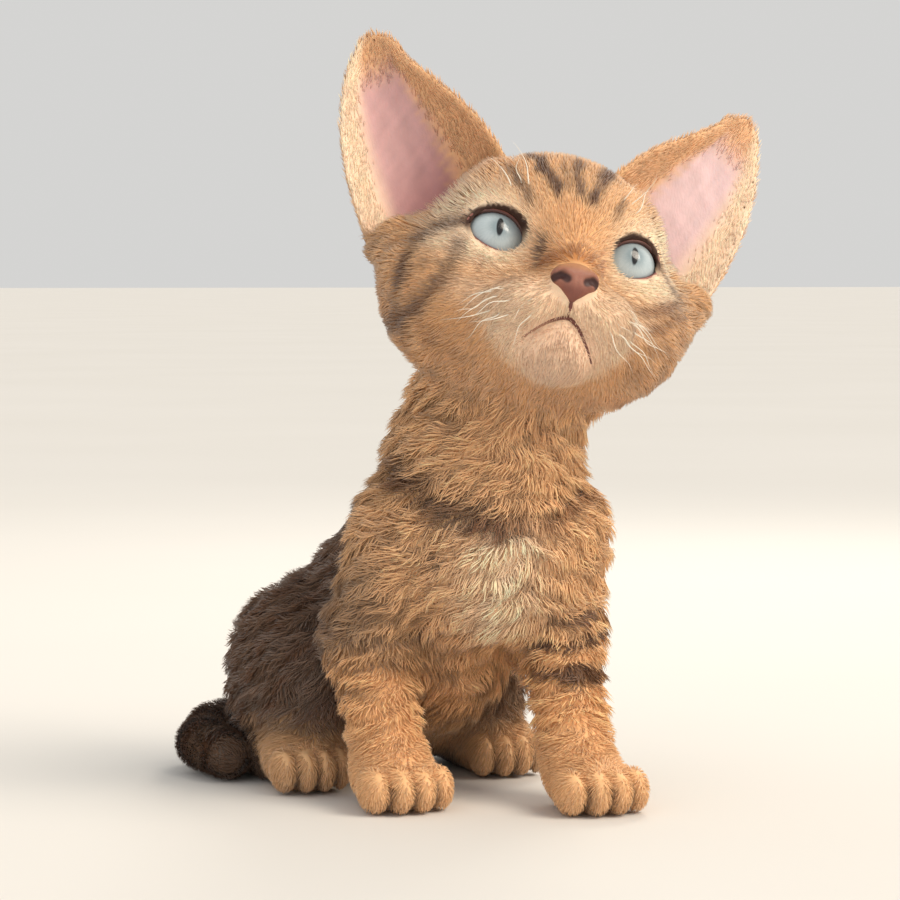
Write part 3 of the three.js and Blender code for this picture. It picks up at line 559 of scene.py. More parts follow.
@dataclass
class Ear:
    """One ear: a cupped leaf. u runs from its inner edge to its outer one, -1 to 1, v from root to tip."""

    side: Side
    length: float = 48.0
    half_width: float = 18.6
    tip_half_width: float = 6.0
    depth: float = 14.0
    root: tuple[float, float, float] = (25, 2, 12)
    thickness: float = 0.82
    root_wrap: float = 80.0
    wrap_lost: float = 38.0

    def wrap(self, v: Array) -> Array:
        """Half the angle that the cup wraps at a height: less towards the tip."""
        return np.radians(self.root_wrap - self.wrap_lost * v)

    def axes(self) -> tuple[Array, Array, Array]:
        """The way up the ear, the way its cup faces, and the way to its outer edge."""
        axis = unit(mirrored((0.48, 0.1, 0.87), self.side))
        facing = mirrored((0.35, -0.93, 0.05), self.side)
        facing = unit(facing - (facing @ axis) * axis)
        return axis, facing, np.cross(facing, axis) * -self.side.value

    def half(self, v: Array, outer: Array) -> Array:
        """Half the width at a height: full outside, and inside a hollow curve to a tip of its own width."""
        full = self.half_width * (1 - v**2.6) ** 0.75 * (1 - 0.08 * v)
        hollow = self.tip_half_width + 1.6 * self.half_width * np.maximum(0, 0.84 - v) ** 1.15
        narrow = (np.maximum(full, 1e-3) ** -8 + hollow**-8) ** (-1 / 8)
        return np.where(outer, full, narrow)

    def bow(self, u: Array, v: Array) -> Array:
        """How far the cup lies back: D (1 - v)^0.75 (cos uw - cos w) / (1 - cos w), w the wrap."""
        wrap = self.wrap(v)
        return self.depth * (1 - v) ** 0.75 * (np.cos(u * wrap) - np.cos(wrap)) / (1 - np.cos(wrap))

    def sheet(self) -> tuple[Array, Array]:
        """Points all over the ear's middle surface in the maker's frame, and half its thickness there."""
        u, v = np.meshgrid(np.linspace(-1, 1, 120), np.linspace(-0.06, 0.985, 130))
        low = np.clip(v, 0, 1)
        wrap = self.wrap(low)
        axis, facing, outward = self.axes()
        across = self.half(low, u > 0) * np.sin(u * wrap) / np.sin(wrap)
        points = mirrored(self.root, self.side) + self.length * v[..., None] * axis
        points = points + across[..., None] * outward - self.bow(u, low)[..., None] * facing
        radii = self.thickness * (1 - 0.2 * np.maximum(np.abs(u) ** 4, low**6))
        return HEAD.out(points).reshape(-1, 3), radii.ravel()

    def place(self, points: Array) -> tuple[Array, Array, Array, Array]:
        """Where points of the maker's frame lie on the ear.

        Returns:
            u and v, how far in front of the middle surface the point is, and how surely it is on the ear.
        """
        axis, facing, outward = self.axes()
        local = HEAD.into(points) - mirrored(self.root, self.side)
        v = np.clip(local @ axis / self.length, 0, 0.999)
        wrap = self.wrap(v)
        across = local @ outward
        u = np.arcsin(np.clip(across * np.sin(wrap) / self.half(v, across > 0), -1, 1)) / wrap
        front = local @ facing + self.bow(u, v)
        slope = self.depth * (1 - v) ** 0.75 * np.tan(np.abs(u) * wrap) / self.half(v, across > 0)
        front = front / np.sqrt(1 + slope**2)
        height = local @ axis / self.length
        on = (np.abs(front) < 2.6) & (height > -0.02) & (height < 1.06)
        on &= np.abs(across) < self.half(v, across > 0) + 2
        return u, v, front, on


def tone(code: str) -> Array:
    """A colour from its hexadecimal code, as linear light: ((c + 0.055) / 1.055)^2.4."""
    values = np.array([int(code[i : i + 2], 16) for i in (0, 2, 4)]) / 255
    return np.where(values < 0.04045, values / 12.92, ((values + 0.055) / 1.055) ** 2.4)


@dataclass(frozen=True)
class Stripe:
    """A dark marking drawn along a line on the coat."""

    path: tuple[tuple[float, float, float], ...]
    width: float
    strength: float
    colour: str = "5a3822"

    def mask(self, points: Array) -> Array:
        """How much of the stripe is on each point: strength exp(-(d / width)^3)."""
        distance, _ = near_path(points, np.array(self.path, float))
        return self.strength * np.exp(-((distance / self.width) ** 3))


@dataclass
class Markings:
    """The tabby's colours and markings: one formula for the skin and for the coat."""

    gold: Array = field(default_factory=lambda: tone("e4bb8e"))
    cream: Array = field(default_factory=lambda: tone("fbe6cd"))
    blush: Array = field(default_factory=lambda: tone("e8cbb4"))
    ginger: Array = field(default_factory=lambda: tone("c59160"))
    brown: Array = field(default_factory=lambda: tone("6a4830"))
    drab: Array = field(default_factory=lambda: tone("6a5342"))
    # The ears' skin: pink with painted shade on the right ear, and the same pink with painted light on the
    # left ear.
    pink: Array = field(default_factory=lambda: tone("cba6ab"))
    lilac: Array = field(default_factory=lambda: tone("dfc9d2"))
    nape: Array = field(default_factory=lambda: tone("8d6a4a"))
    ticking: Array = field(default_factory=lambda: tone("7d5434"))
    kohl: Array = field(default_factory=lambda: tone("3c261d"))
    warmth: Array = field(default_factory=lambda: np.array([1.12, 1.04, 0.95]))
    on_head: tuple[Stripe, ...] = (
        Stripe(((-14.5, -20, 17), (-13, -23, 13), (-11.6, -24.7, 10), (-10.1, -25.7, 7.3)), 1.3, 0.8),
        Stripe(((-11, -14, 25), (-8.4, -20.3, 20.3), (-7.6, -23, 16.6), (-5, -26.3, 11.9)), 1.7, 0.9),
        Stripe(((-5, -26, 13), (-4.3, -27.2, 9.2)), 1.2, 0.85),
        Stripe(((-2.9, -23, 18), (-2.3, -26.5, 12)), 0.9, 0.5),
        Stripe(((1, -20, 21), (-0.4, -24, 17), (0.5, -27.3, 10)), 1.2, 0.8),
        Stripe(((9, -18, 22), (6, -23.8, 16.9), (4.1, -26.3, 12.6), (3.2, -27.1, 9.6)), 1.7, 0.9),
        Stripe(((11, -24.4, 12.6), (10.4, -25, 11), (9.3, -26, 7.7)), 1.3, 0.85),
        Stripe(((-24, -18, 3.6), (-27.9, -11.8, 3.7), (-32.8, -10.8, -1.5), (-35, -12.3, -9.8)), 2.3, 0.85),
        Stripe(((-35, -12.3, -9.8), (-34.6, -10.5, -16.4), (-31, -8, -22)), 2.0, 0.6),
        Stripe(
            ((-23.4, -18.5, -3), (-24.6, -20.9, -7.6), (-26.4, -20.6, -12.4), (-31.2, -14, -18.7)), 1.9, 0.6
        ),
        Stripe(((-31.2, -14, -18.7), (-32.9, -10.2, -19.8), (-33, 0, -18)), 2.2, 0.7),
        Stripe(((-18.5, -22.3, -8.2), (-13.9, -27.7, -11.6), (-8.8, -31, -10.6)), 1.5, 0.55, "835432"),
        Stripe(((-26, -12, -21), (-23.3, -9.5, -25.7), (-16.7, -12.3, -27.6)), 2.2, 0.35, "835432"),
        Stripe(((24, -18, 1.4), (27.5, -14, -1), (29, -6, -4), (28, 4, -6)), 1.9, 0.6),
        Stripe(
            ((9.5, -28, -9), (16.9, -24.2, -11.6), (23.2, -20.5, -9), (30.9, -11.5, -2.3)),
            1.5,
            0.65,
            "835432",
        ),
        Stripe(
            ((13.8, -28, -17), (22, -20.6, -14.9), (27.8, -17.3, -8.9), (31, -10, -6)), 1.5, 0.55, "835432"
        ),
        Stripe(((19, -22, -19), (26, -15, -17), (30, -8, -14)), 1.5, 0.45, "835432"),
        Stripe(((-6.2, -29.9, -6.4), (-2.7, -32.8, -5.9), (4.9, -31, -6)), 2.5, 0.75, "a8692f"),
        Stripe(((-4.8, -25.5, 2), (-5.8, -26.5, -2), (-7.6, -27.6, -6.6)), 1.4, 0.85, "573626"),
        Stripe(((5.2, -26, -1), (7, -27.5, -6), (9, -27, -9)), 1.1, 0.6, "a35f48"),
        Stripe(((-9, 0, 29), (-10, 18, 24), (-10, 28, 12)), 2.0, 0.7),
        Stripe(((9, 0, 29), (10, 18, 24), (10, 28, 12)), 2.0, 0.7),
        Stripe(((0, 2, 30), (0, 20, 25), (0, 32, 8)), 1.8, 0.6),
        Stripe(((-26, 6, 8), (-24, 20, 6), (-16, 29, 0)), 2.0, 0.5),
        Stripe(((26, 6, 8), (24, 20, 6), (16, 29, 0)), 2.0, 0.5),
    )
    on_body: tuple[Stripe, ...] = (
        Stripe(
            ((-22, 2, 84), (-16, -8, 79.5), (-12.5, -15.7, 75), (-8.2, -20.4, 71), (0, -24.3, 68)), 3.4, 0.85
        ),
        Stripe(
            ((0, -24.3, 68), (9.2, -26.2, 66.4), (18.2, -22.8, 69.8), (28.6, -15, 73)), 2.8, 0.75, "7b4f2e"
        ),
        Stripe(((-16, -4, 96), (-10.3, -13.1, 94), (-5.9, -20.8, 91.5)), 2.2, 0.5),
        Stripe(((1.2, -27.3, 91.8), (10.9, -27.9, 88), (18.3, -28.2, 89.7)), 2.1, 0.42, "9a6230"),
        Stripe(((-16, -6, 60), (-10, -20, 56), (-6, -26, 54)), 2.2, 0.4),
        Stripe(((32, -8, 58), (24, -24, 54), (18, -28, 53)), 1.8, 0.3),
        Stripe(((-4, -4, 31.4), (-3, -2, 29)), 2.4, 0.6),
        Stripe(((12.9, 0, 28.5), (10, 1, 25)), 2.6, 0.5),
        Stripe(((4, -8, 36), (6, -8, 34)), 1.8, 0.5),
    )

    def head(self, points: Array) -> Array:
        """The head's colours: gold, cream round the eyes, blush muzzle and chin, with its stripes."""
        local = HEAD.into(points)
        warped = local + 0.5 * np.stack([swell(local, 5, s) for s in (0, 3, 6)], -1)
        colour = np.broadcast_to(self.gold, local.shape)
        colour = blended(colour, self.nape, 0.8 * ramp(-4, 16, local[:, 1]))
        low_cheek = ramp(-4, -14, local[:, 2]) * ramp(-26, -14, local[:, 1])
        colour = blended(colour, self.ginger, 0.55 * low_cheek * (0.6 + 0.4 * swell(local, 7, 2)))
        ticks = 0.5 + 0.5 * np.sin(0.9 * warped[:, 2] + 0.55 * warped[:, 1] + 1.5 * swell(local, 12, 4))
        flank = ramp(14, 24, np.abs(local[:, 0])) + ramp(-2, 6, local[:, 1])
        colour = blended(colour, self.ticking, 0.36 * ticks**3 * np.clip(flank, 0, 1))
        for side in Side:
            away = np.linalg.norm((local - mirrored(EYE_AT, side)) / [1.15, 1, 1], axis=1)
            ring = 0.95 * np.exp(-(((away - 10) / 3.8) ** 2)) * ramp(-4, -12, local[:, 1])
            colour = blended(colour, self.cream, ring)
        muzzle = ramp(-8, -15, local[:, 2]) * ramp(-18, -23, local[:, 1])
        colour = blended(colour, 0.5 * (self.cream + self.blush), 0.85 * muzzle)
        chin = np.linalg.norm((local - [0, -28, -28]) / [12, 8, 9], axis=1)
        colour = blended(colour, self.blush, 0.85 * ramp(1.2, 0.6, chin))
        between = np.exp(-((local[:, 0] / 5) ** 2)) * ramp(-10, -4, local[:, 2]) * ramp(12, 2, local[:, 2])
        colour = blended(colour, self.gold * [1.05, 0.93, 0.78], 0.6 * between * ramp(-20, -24, local[:, 1]))
        for stripe in self.on_head:
            colour = blended(colour, tone(stripe.colour), np.clip(stripe.mask(warped) * 1.05, 0, 1))
        for side in Side:
            upper = 0.35 + 0.65 * ramp(-2, 2, local[:, 2] - EYE_AT[2])
            colour = blended(colour, self.kohl, upper * ramp(1.14, 1.03, lid_reach(local, side)))
        return colour

    def trunk(self, points: Array) -> Array:
        """The body's colours: gold chest, drab banded back and haunches, pale banded legs and golden paws,
        with painted shade between the toes.
        """
        x, y, z = points.T
        warped = points + 1.2 * np.stack([swell(points, 11, s) for s in (0, 3, 6)], -1)
        colour = np.broadcast_to(self.gold, points.shape)
        back = ramp(-16, 24, y + 0.25 * (x * -1) - 0.12 * (z - 50) + 4 * swell(points, 19, 6))
        colour = blended(colour, self.drab, back)
        throat = np.exp(-(((x - 4) / 8.5) ** 2)) * ramp(-10, -20, y) * ramp(72, 62, z) * ramp(26, 44, z)
        colour = blended(colour, self.cream, 0.95 * throat * (0.75 + 0.25 * swell(points, 6, 3)))
        arms = ramp(40, 30, z) * ramp(12, 0, y)
        colour = blended(colour, self.gold * [1.1, 1.02, 0.92], 0.8 * arms)
        hind = ramp(22, 10, z) * ramp(60, 34, y)
        colour = blended(colour, self.gold, 0.8 * hind * ramp(40, 24, y))
        rings = np.sin((warped[:, 2] - 0.25 * warped[:, 1]) * 0.95)
        leg = ramp(50, 42, z) * ramp(24, 29, z) * ramp(10, -2, y) * ramp(9, 14, np.abs(x - 4))
        banded = (0.6 + 0.35 * ramp(0, 10, x)) * leg * ramp(0.1, 0.8, rings)
        colour = blended(colour, self.brown * 0.85, banded)
        bars = np.sin((warped[:, 1] * 0.9 + 0.45 * warped[:, 2]) * 0.62)
        flank = ramp(-4, 10, y) * ramp(12, 22, z)
        colour = blended(colour, self.brown * 0.8, 0.62 * flank * ramp(0.1, 0.9, bars))
        # Painted shade in the gaps between the toes.
        colour = blended(colour, self.brown * 0.7, 0.8 * self.toe_slits(points))
        spine = np.exp(-(((x - 1) / 4) ** 2)) * ramp(12, 24, y)
        colour = blended(colour, self.brown * 0.65, 0.8 * spine)
        soot = ramp(0.35, 0.8, swell(points, 8, 9)) * ramp(0, -10, y) * ramp(20, 36, z)
        colour = blended(colour, self.brown, 0.3 * soot)
        for stripe in self.on_body:
            colour = blended(colour, tone(stripe.colour), np.clip(stripe.mask(warped), 0, 1))
        return colour

    def toe_slits(self, points: Array) -> Array:
        """How much painted shade each point takes in the gap between two toes: exp(-(d / w)^2) across each
        gap.
        """
        x, y, z = points.T
        width = 0.9
        gap_shade = np.zeros(len(points))
        for leg in (*Form().forelegs, *Form().hindlegs):
            paw_x, paw_y, _ = leg.paw
            ahead, low, near = ramp(paw_y - 4, paw_y - 8, y), ramp(8.5, 6.5, z), np.abs(y - paw_y) < 16
            for place in (-1, 0, 1):
                # The painted shade across one gap between two toes.
                slit = np.exp(-(((x - paw_x - place * leg.width * TOE_SPREAD) / width) ** 2))
                gap_shade = np.maximum(gap_shade, slit * ahead * low * near)
        return gap_shade

    def tail(self, points: Array, path: Array, colour: Array) -> Array:
        """The tail's dark rings and tip, over the colours already there."""
        distance, along = near_path(points, path)
        on = ramp(11, 9, distance) * ramp(0, 12, along)
        rings = ramp(-0.1, 0.7, np.sin(along * 0.62))
        ringed = blended(np.broadcast_to(self.drab, points.shape), self.brown * 0.6, rings)
        ringed = blended(ringed, self.brown * 0.5, ramp(78, 90, along))
        return blended(colour, ringed, on)

    def ear(self, ear: Ear, points: Array, colour: Array) -> Array:
        """The ear's gold back, furred inner third and tip, pink cup and cream outer rim; the left ear's cup
        is painted lighter as lit and the right one's darker as in shade, with painted shade deep towards its
        root.
        """
        u, v, front, on = ear.place(points)
        left = ear.side is Side.LEFT
        skin = self.lilac if left else self.pink
        # Painted shade deep in the cup towards its root: full on the right ear, a third as strong on the left
        # ear, which is painted lit.
        deep = ramp(0.62, 0.0, v + 0.3 * (u + 0.2)) * (0.35 if left else 1.0)
        cup = blended(np.broadcast_to(skin, points.shape), skin * [0.62, 0.42, 0.44], 0.85 * deep)
        inner = u + 0.25 * (v - 0.4) + 0.06 * swell(points, 2.4, 1)
        fur = np.maximum(ramp(-0.15, -0.5, inner), ramp(0.72, 0.9, v))
        rim = ramp(0.45, 0.78, u + 0.15 * (1 - v))
        cup = blended(cup, self.gold, 0.9 * fur)
        cup = blended(cup, self.cream, 0.9 * rim)
        cup = cup * (1 + 0.06 * swell(points * [1, 1, 0.4], 4, 8))[:, None]
        middle = 0.6 * ramp(1.05, 0.6, np.abs(u)) * ramp(0.95, 0.6, v)
        back = blended(np.broadcast_to(self.gold * 0.9, points.shape), self.drab, middle)
        whole = blended(back, cup, ramp(-0.35, 0.1, front))
        return blended(colour, whole, on * ramp(-0.02, 0.1, v - 0.18 * ramp(0, -1, u)))

    def at(self, points: Array, form: Form, ears: list[Ear]) -> Array:
        """The colour at each point of the surface, in linear light.

        Args:
            points: the points, in the maker's frame.
            form: the flesh, whose tail the rings follow.
            ears: both ears.
        """
        colour = blended(self.trunk(points), self.head(points), ramp(-5, 4, head_depth(points)))
        colour = self.tail(points, form.tail_path, colour)
        for ear in ears:
            colour = self.ear(ear, points, colour)
        return colour * self.warmth * (1 + 0.05 * swell(points, 3.1, 5))[:, None]


class Sum:
    """A shader value that Python's operators extend with Math nodes."""

    def __init__(self, graph: Graph, socket: bpy.types.NodeSocket) -> None:
        """Wraps a socket of a material's graph."""
        self.graph = graph
        self.socket = socket

    def _math(self, operation: str, *values: Sum | float) -> Sum:
        """A Math node on these values."""
        return self.graph.node("ShaderNodeMath", {"operation": operation}, dict(enumerate(values)))

    def __add__(self, other: Sum | float) -> Sum:
        """self + other."""
        return self._math("ADD", self, other)

    __radd__ = __add__

    def __sub__(self, other: Sum | float) -> Sum:
        """self - other."""
        return self._math("SUBTRACT", self, other)

    def __rsub__(self, other: float) -> Sum:
        """other - self."""
        return self._math("SUBTRACT", other, self)

    def __mul__(self, other: Sum | float) -> Sum:
        """self * other."""
        return self._math("MULTIPLY", self, other)

    __rmul__ = __mul__

    def __truediv__(self, other: Sum | float) -> Sum:
        """self / other."""
        return self._math("DIVIDE", self, other)

    def power(self, other: float) -> Sum:
        """self to a power."""
        return self._math("POWER", self, other)

    def step(self, low: float, high: float) -> Sum:
        """A smooth step from 0 to 1 between two values."""
        inputs = {"Value": self, "From Min": low, "From Max": high}
        return self.graph.node("ShaderNodeMapRange", {"interpolation_type": "SMOOTHSTEP"}, inputs)


class Graph:
    """A material's nodes."""

    def __init__(self, name: str, **constants: float | tuple) -> None:
        """Starts with a Principled shader.

        Args:
            name: the material's name.
            constants: what the shader's own sockets are set to, by name with _ for a space.
        """
        self.material = bpy.data.materials.new(name)
        self.material.use_nodes = True
        self.tree = self.material.node_tree
        self.shader = self.tree.nodes["Principled BSDF"]
        for key, value in constants.items():
            self.shader.inputs[key.replace("_", " ")].default_value = value

    def node(
        self, kind: str, settings: dict | None = None, inputs: dict | None = None, out: int | str = 0
    ) -> Sum:
        """Adds a node.

        Args:
            kind: its type.
            settings: its own settings, set first.
            inputs: the value or link of each socket, by name or number.
            out: which output is wanted.

        Returns:
            That output.
        """
        made_node = self.tree.nodes.new(kind)
        for key, value in (settings or {}).items():
            setattr(made_node, key, value)
        for key, value in (inputs or {}).items():
            self.link(value, made_node.inputs[key])
        return Sum(self, made_node.outputs[out])

    def link(self, value: Sum | float | tuple, socket: bpy.types.NodeSocket) -> None:
        """Links a value to a socket, or sets the socket to a constant."""
        if isinstance(value, Sum):
            self.tree.links.new(value.socket, socket)
        else:
            socket.default_value = value

    def paint(self, name: str, value: Sum) -> None:
        """Links a value to one of the shader's sockets."""
        self.link(value, self.shader.inputs[name])

    def mix(self, first: Sum | tuple, second: Sum | tuple, share: Sum) -> Sum:
        """A mix of two colours."""
        made_node = self.tree.nodes.new("ShaderNodeMix")
        made_node.data_type = "RGBA"
        self.link(share, made_node.inputs[0])
        self.link(first, made_node.inputs[6])
        self.link(second, made_node.inputs[7])
        return Sum(self, made_node.outputs[2])

    def scaled(self, colour: Sum, factor: Sum) -> Sum:
        """A colour made lighter or darker by a factor."""
        return self.node("ShaderNodeVectorMath", {"operation": "SCALE"}, {0: colour, "Scale": factor})

    def noise(
        self, scale: float, detail: float = 2.0, stretch: tuple = (1, 1, 1), roughness: float = 0.5
    ) -> Sum:
        """Noise on Object coordinates, in lumps per metre."""
        place = self.node("ShaderNodeTexCoord", out="Object")
        place = self.node("ShaderNodeMapping", {}, {"Vector": place, "Scale": stretch})
        inputs = {"Vector": place, "Scale": scale, "Detail": detail, "Roughness": roughness}
        return self.node("ShaderNodeTexNoise", {}, inputs)

    def bump(self, height: Sum, distance: float, strength: float = 0.5) -> None:
        """Raises the surface by a height."""
        inputs = {"Height": height, "Distance": distance, "Strength": strength}
        self.paint("Normal", self.node("ShaderNodeBump", {}, inputs))


def rgba(code: str) -> tuple[float, float, float, float]:
    """A colour for a shader's socket from its code."""
    return (*tone(code), 1.0)


@dataclass(frozen=True)
class FurFinish:
    """The coat: the markings, lighter and darker from lock to lock, dull with a soft sheen."""

    variation: float = 0.28
    roughness: float = 0.62

    def material(self) -> bpy.types.Material:
        """Builds it."""
        graph = Graph("fur", Sheen_Weight=0.25, Sheen_Roughness=0.45, Specular_IOR_Level=0.35)
        marks = graph.node("ShaderNodeAttribute", {"attribute_name": "markings"}, out="Color")
        locks = graph.noise(420, 3, roughness=0.6)
        graph.paint("Base Color", graph.scaled(marks, locks * self.variation + (1 - self.variation / 2)))
        graph.paint("Roughness", locks * 0.2 + (self.roughness - 0.1))
        return graph.material


@dataclass(frozen=True)
class SkinFinish:
    """The skin and its shortest fur: the same markings, with fine pores and hairs as bump."""

    roughness: float = 0.6

    def material(self) -> bpy.types.Material:
        """Builds it."""
        graph = Graph("skin", Subsurface_Weight=0.12, Subsurface_Scale=0.002, Specular_IOR_Level=0.3)
        graph.shader.inputs["Subsurface Radius"].default_value = (1.0, 0.45, 0.3)
        marks = graph.node("ShaderNodeAttribute", {"attribute_name": "markings"}, out="Color")
        mottle = graph.noise(260, 4)
        graph.paint("Base Color", graph.scaled(marks, mottle * 0.24 + 0.86))
        graph.paint("Roughness", mottle * 0.25 + (self.roughness - 0.12))
        graph.bump(graph.noise(1800, 3, (1, 1, 0.45)), 0.0002)
        return graph.material


@dataclass(frozen=True)
class NoseFinish:
    """Brick-red nose leather: small pebbles, moist, with painted shade on its underside and inside the
    nostrils by its own markings.
    """

    def material(self) -> bpy.types.Material:
        """Builds it."""
        graph = Graph("nose_leather", Subsurface_Weight=0.08, Subsurface_Scale=0.001)
        marks = graph.node("ShaderNodeAttribute", {"attribute_name": "markings"}, out="Color")
        tint = graph.noise(500, 3)
        graph.paint("Base Color", graph.scaled(marks, tint * 0.4 + 0.8))
        place = graph.node("ShaderNodeTexCoord", out="Object")
        pebbles = graph.node("ShaderNodeTexVoronoi", {}, {"Vector": place, "Scale": 2600.0}, out="Distance")
        graph.paint("Roughness", pebbles * 0.25 + 0.42)
        graph.bump(pebbles, 0.00008, 0.35)
        return graph.material


@dataclass(frozen=True)
class LidFinish:
    """The lids' bare rims: dark brown outside, wet red-brown inside, by their own markings."""

    def material(self) -> bpy.types.Material:
        """Builds it."""
        graph = Graph("lid_rim")
        marks = graph.node("ShaderNodeAttribute", {"attribute_name": "markings"}, out="Color")
        tint = graph.noise(900, 3)
        graph.paint("Base Color", graph.scaled(marks, tint * 0.4 + 0.8))
        graph.paint("Roughness", tint * 0.3 + 0.28)
        graph.bump(tint, 0.0001, 0.4)
        return graph.material


@dataclass(frozen=True)
class EyeFinish:
    """A pale blue-grey iris with a slit pupil under a clear wet cornea, drawn on the eye's own UV map, with
    the upper lid's shadow painted across its top.
    """

    iris: str = "b4c1c5"
    # The limbal ring's colour, also used for the upper lid's painted shadow on the iris.
    edge: str = "4a545a"
    heart: str = "8b9ba1"
    pupil: str = "0b0d10"
    pupil_half: tuple[float, float] = (0.8, 2.2)

    def material(self) -> bpy.types.Material:
        """Builds it."""
        graph = Graph("eye", Roughness=0.12, Coat_Roughness=0.01, Coat_IOR=1.38, Specular_IOR_Level=0.4)
        graph.shader.inputs["Coat Weight"].default_value = 1.0
        place = graph.node("ShaderNodeUVMap", {"uv_map": "iris"}, out="UV")
        parts = graph.tree.nodes.new("ShaderNodeSeparateXYZ")
        graph.link(place, parts.inputs[0])
        x, y = Sum(graph, parts.outputs[0]), Sum(graph, parts.outputs[1])
        radius = (x * x + y * y).power(0.5)
        angle = graph.node("ShaderNodeMath", {"operation": "ARCTAN2"}, {0: y, 1: x})
        spoke = graph.node("ShaderNodeCombineXYZ", {}, {0: angle * 5.0, 1: radius * 0.35})
        inputs = {"Vector": spoke, "Scale": 2.6, "Detail": 4.0, "Roughness": 0.65}
        fibres = graph.node("ShaderNodeTexNoise", {}, inputs)
        base = graph.mix(rgba(self.heart), rgba(self.iris), radius.step(1.2, 3.6))
        base = graph.mix(base, rgba("cfd8d8"), (fibres - 0.42) * 1.4 * radius.step(1.0, 3.0))
        base = graph.mix(base, rgba(self.edge), radius.step(5.4, 7.2) * 0.8)
        # Painted shadow of the upper lid across the top of the iris.
        base = graph.mix(base, rgba(self.edge), y.step(1.6, 5.4) * 0.6)
        wide, high = self.pupil_half
        hole = ((x / wide) * (x / wide) + (y / high) * (y / high)).step(1.4, 0.7)
        base = graph.mix(base, rgba(self.pupil), hole)
        graph.paint("Base Color", base)
        graph.bump(fibres, 0.00006, 0.3)
        return graph.material


@dataclass(frozen=True)
class WhiskerFinish:
    """White whiskers, clear and a little shiny, yellower in places."""

    def material(self) -> bpy.types.Material:
        """Builds it."""
        graph = Graph("whisker", Specular_IOR_Level=0.6)
        tint = graph.noise(300, 2)
        graph.paint("Base Color", graph.mix(rgba("fbf4e6"), rgba("e6d2b0"), tint * 0.6))
        graph.paint("Roughness", tint * 0.2 + 0.25)
        return graph.material


@dataclass(frozen=True)
class FloorFinish:
    """A plain pale matt floor."""

    def material(self) -> bpy.types.Material:
        """Builds it."""
        graph = Graph("floor")
        tint = graph.noise(3, 3)
        graph.paint("Base Color", graph.mix(rgba("e6e3de"), rgba("dfdcd6"), tint))
        graph.paint("Roughness", tint * 0.1 + 0.72)
        return graph.material


@dataclass
class Lock:
    """The shape of the coat's tufts: three-sided tapering strips that follow the skin, with painted shade at
    the root and painted light towards the tip and on the upper edge.
    """

    stations: tuple[float, ...] = (0.0, 0.36, 0.72)
    girths: tuple[float, ...] = (0.75, 1.0, 0.7)
    # Painted shade along each tuft from root to tip: darkest at the root, where shade falls between the
    # tufts, and lighter towards the tip.
    painted_shades: tuple[float, ...] = (0.82, 0.97, 1.03, 1.07)
    curl: float = 0.55
    waves: float = 5.0
    sunk: float = 0.25
    arch: float = 0.85
    most_moved: float = 1.6
    flatness: float = 0.45
    patch: tuple[float, float] = (0.0013, 0.003)

    def faces(self) -> Array:
        """The triangles of one tuft: walls between its sections, a cap at its root and three to its tip."""
        rings = len(self.stations)
        cells = [[0, 2, 1]]
        for ring, k in product(range(rings - 1), range(3)):
            a, b = 3 * ring + k, 3 * ring + (k + 1) % 3
            cells += [[a, b, b + 3], [a, b + 3, a + 3]]
        last = 3 * (rings - 1)
        cells += [[last + k, last + (k + 1) % 3, 3 * rings] for k in range(3)]
        return np.array(cells)

    def grown(self, roots: Roots, clay: Clay) -> tuple[Array, Array, Array]:
        """Builds every tuft at once.

        Its middle line starts along the lie and swings to either side of it, curl sin(phase + waves t). Each
        station is then moved along the slope to its own height over the skin.

        Args:
            roots: where the tufts stand, with their sizes.
            clay: the skin's distances.

        Returns:
            The vertices, as tufts by corners by 3, the painted shade of each corner (darker at the root,
            lighter towards the tip and on the upper edge) and its offset in the UV map.
        """
        stations = (*self.stations, 1.0)
        corners, painted_shades, patches = [], [], []
        point, before, lie = roots.points, 0.0, roots.lie
        up = roots.normals
        for i, t in enumerate(stations):
            swing = roots.curl * self.curl * np.sin(roots.phase + self.waves * t)
            aside = np.cross(up, lie)
            way = lie * np.cos(swing)[:, None] + aside * np.sin(swing)[:, None]
            point = point + way * (roots.length * (t - before))[:, None]
            height = (roots.rise + self.sunk) * t**self.arch - self.sunk
            if t > 0:
                slope = np.where(roots.on_ear[:, None], up, clay.slope(point))
                off = np.where(roots.on_ear, 0, height - clay.at(point))
                point = point + slope * np.clip(off, -self.most_moved, self.most_moved)[:, None]
                up = unit(0.5 * up + 0.5 * slope)
                lie = unit(lie - (lie * up).sum(1, keepdims=True) * up)
            lift = np.where(roots.on_ear, height, 0 if t > 0 else -self.sunk)
            centre = point + up * lift[:, None]
            # The painted shade at this station along the tuft.
            shade = self.painted_shades[i]
            if i == len(self.stations):
                corners.append(centre)
                painted_shades.append(shade)
                patches.append((0.0, self.patch[1] / 2))
            else:
                across = unit(np.cross(up, way))
                for k in range(3):
                    angle = np.pi / 2 + k * 2 * np.pi / 3
                    reach = 0.5 * roots.width * self.girths[i]
                    edge = across * np.cos(angle) + up * self.flatness * np.sin(angle)
                    corners.append(centre + edge * reach[:, None])
                    # Painted light on the tuft's upper edge and painted shade on its other two edges.
                    painted_shades.append(shade * (1.06 if k == 0 else 0.97))
                    patches.append(((k - 1) * self.patch[0], (t - 0.5) * self.patch[1]))
            before = t
        return np.stack(corners, 1), np.array(painted_shades), np.array(patches)


@dataclass
class Roots:
    """Where the tufts stand on the skin, and how each one lies."""

    points: Array
    normals: Array
    lie: Array
    length: Array
    width: Array
    rise: Array
    curl: Array
    phase: Array
    on_ear: Array
    colour: Array

    def picked(self, mask: Array) -> Roots:
        """The roots where the mask is true."""
        return Roots(**{key: value[mask] for key, value in self.__dict__.items()})


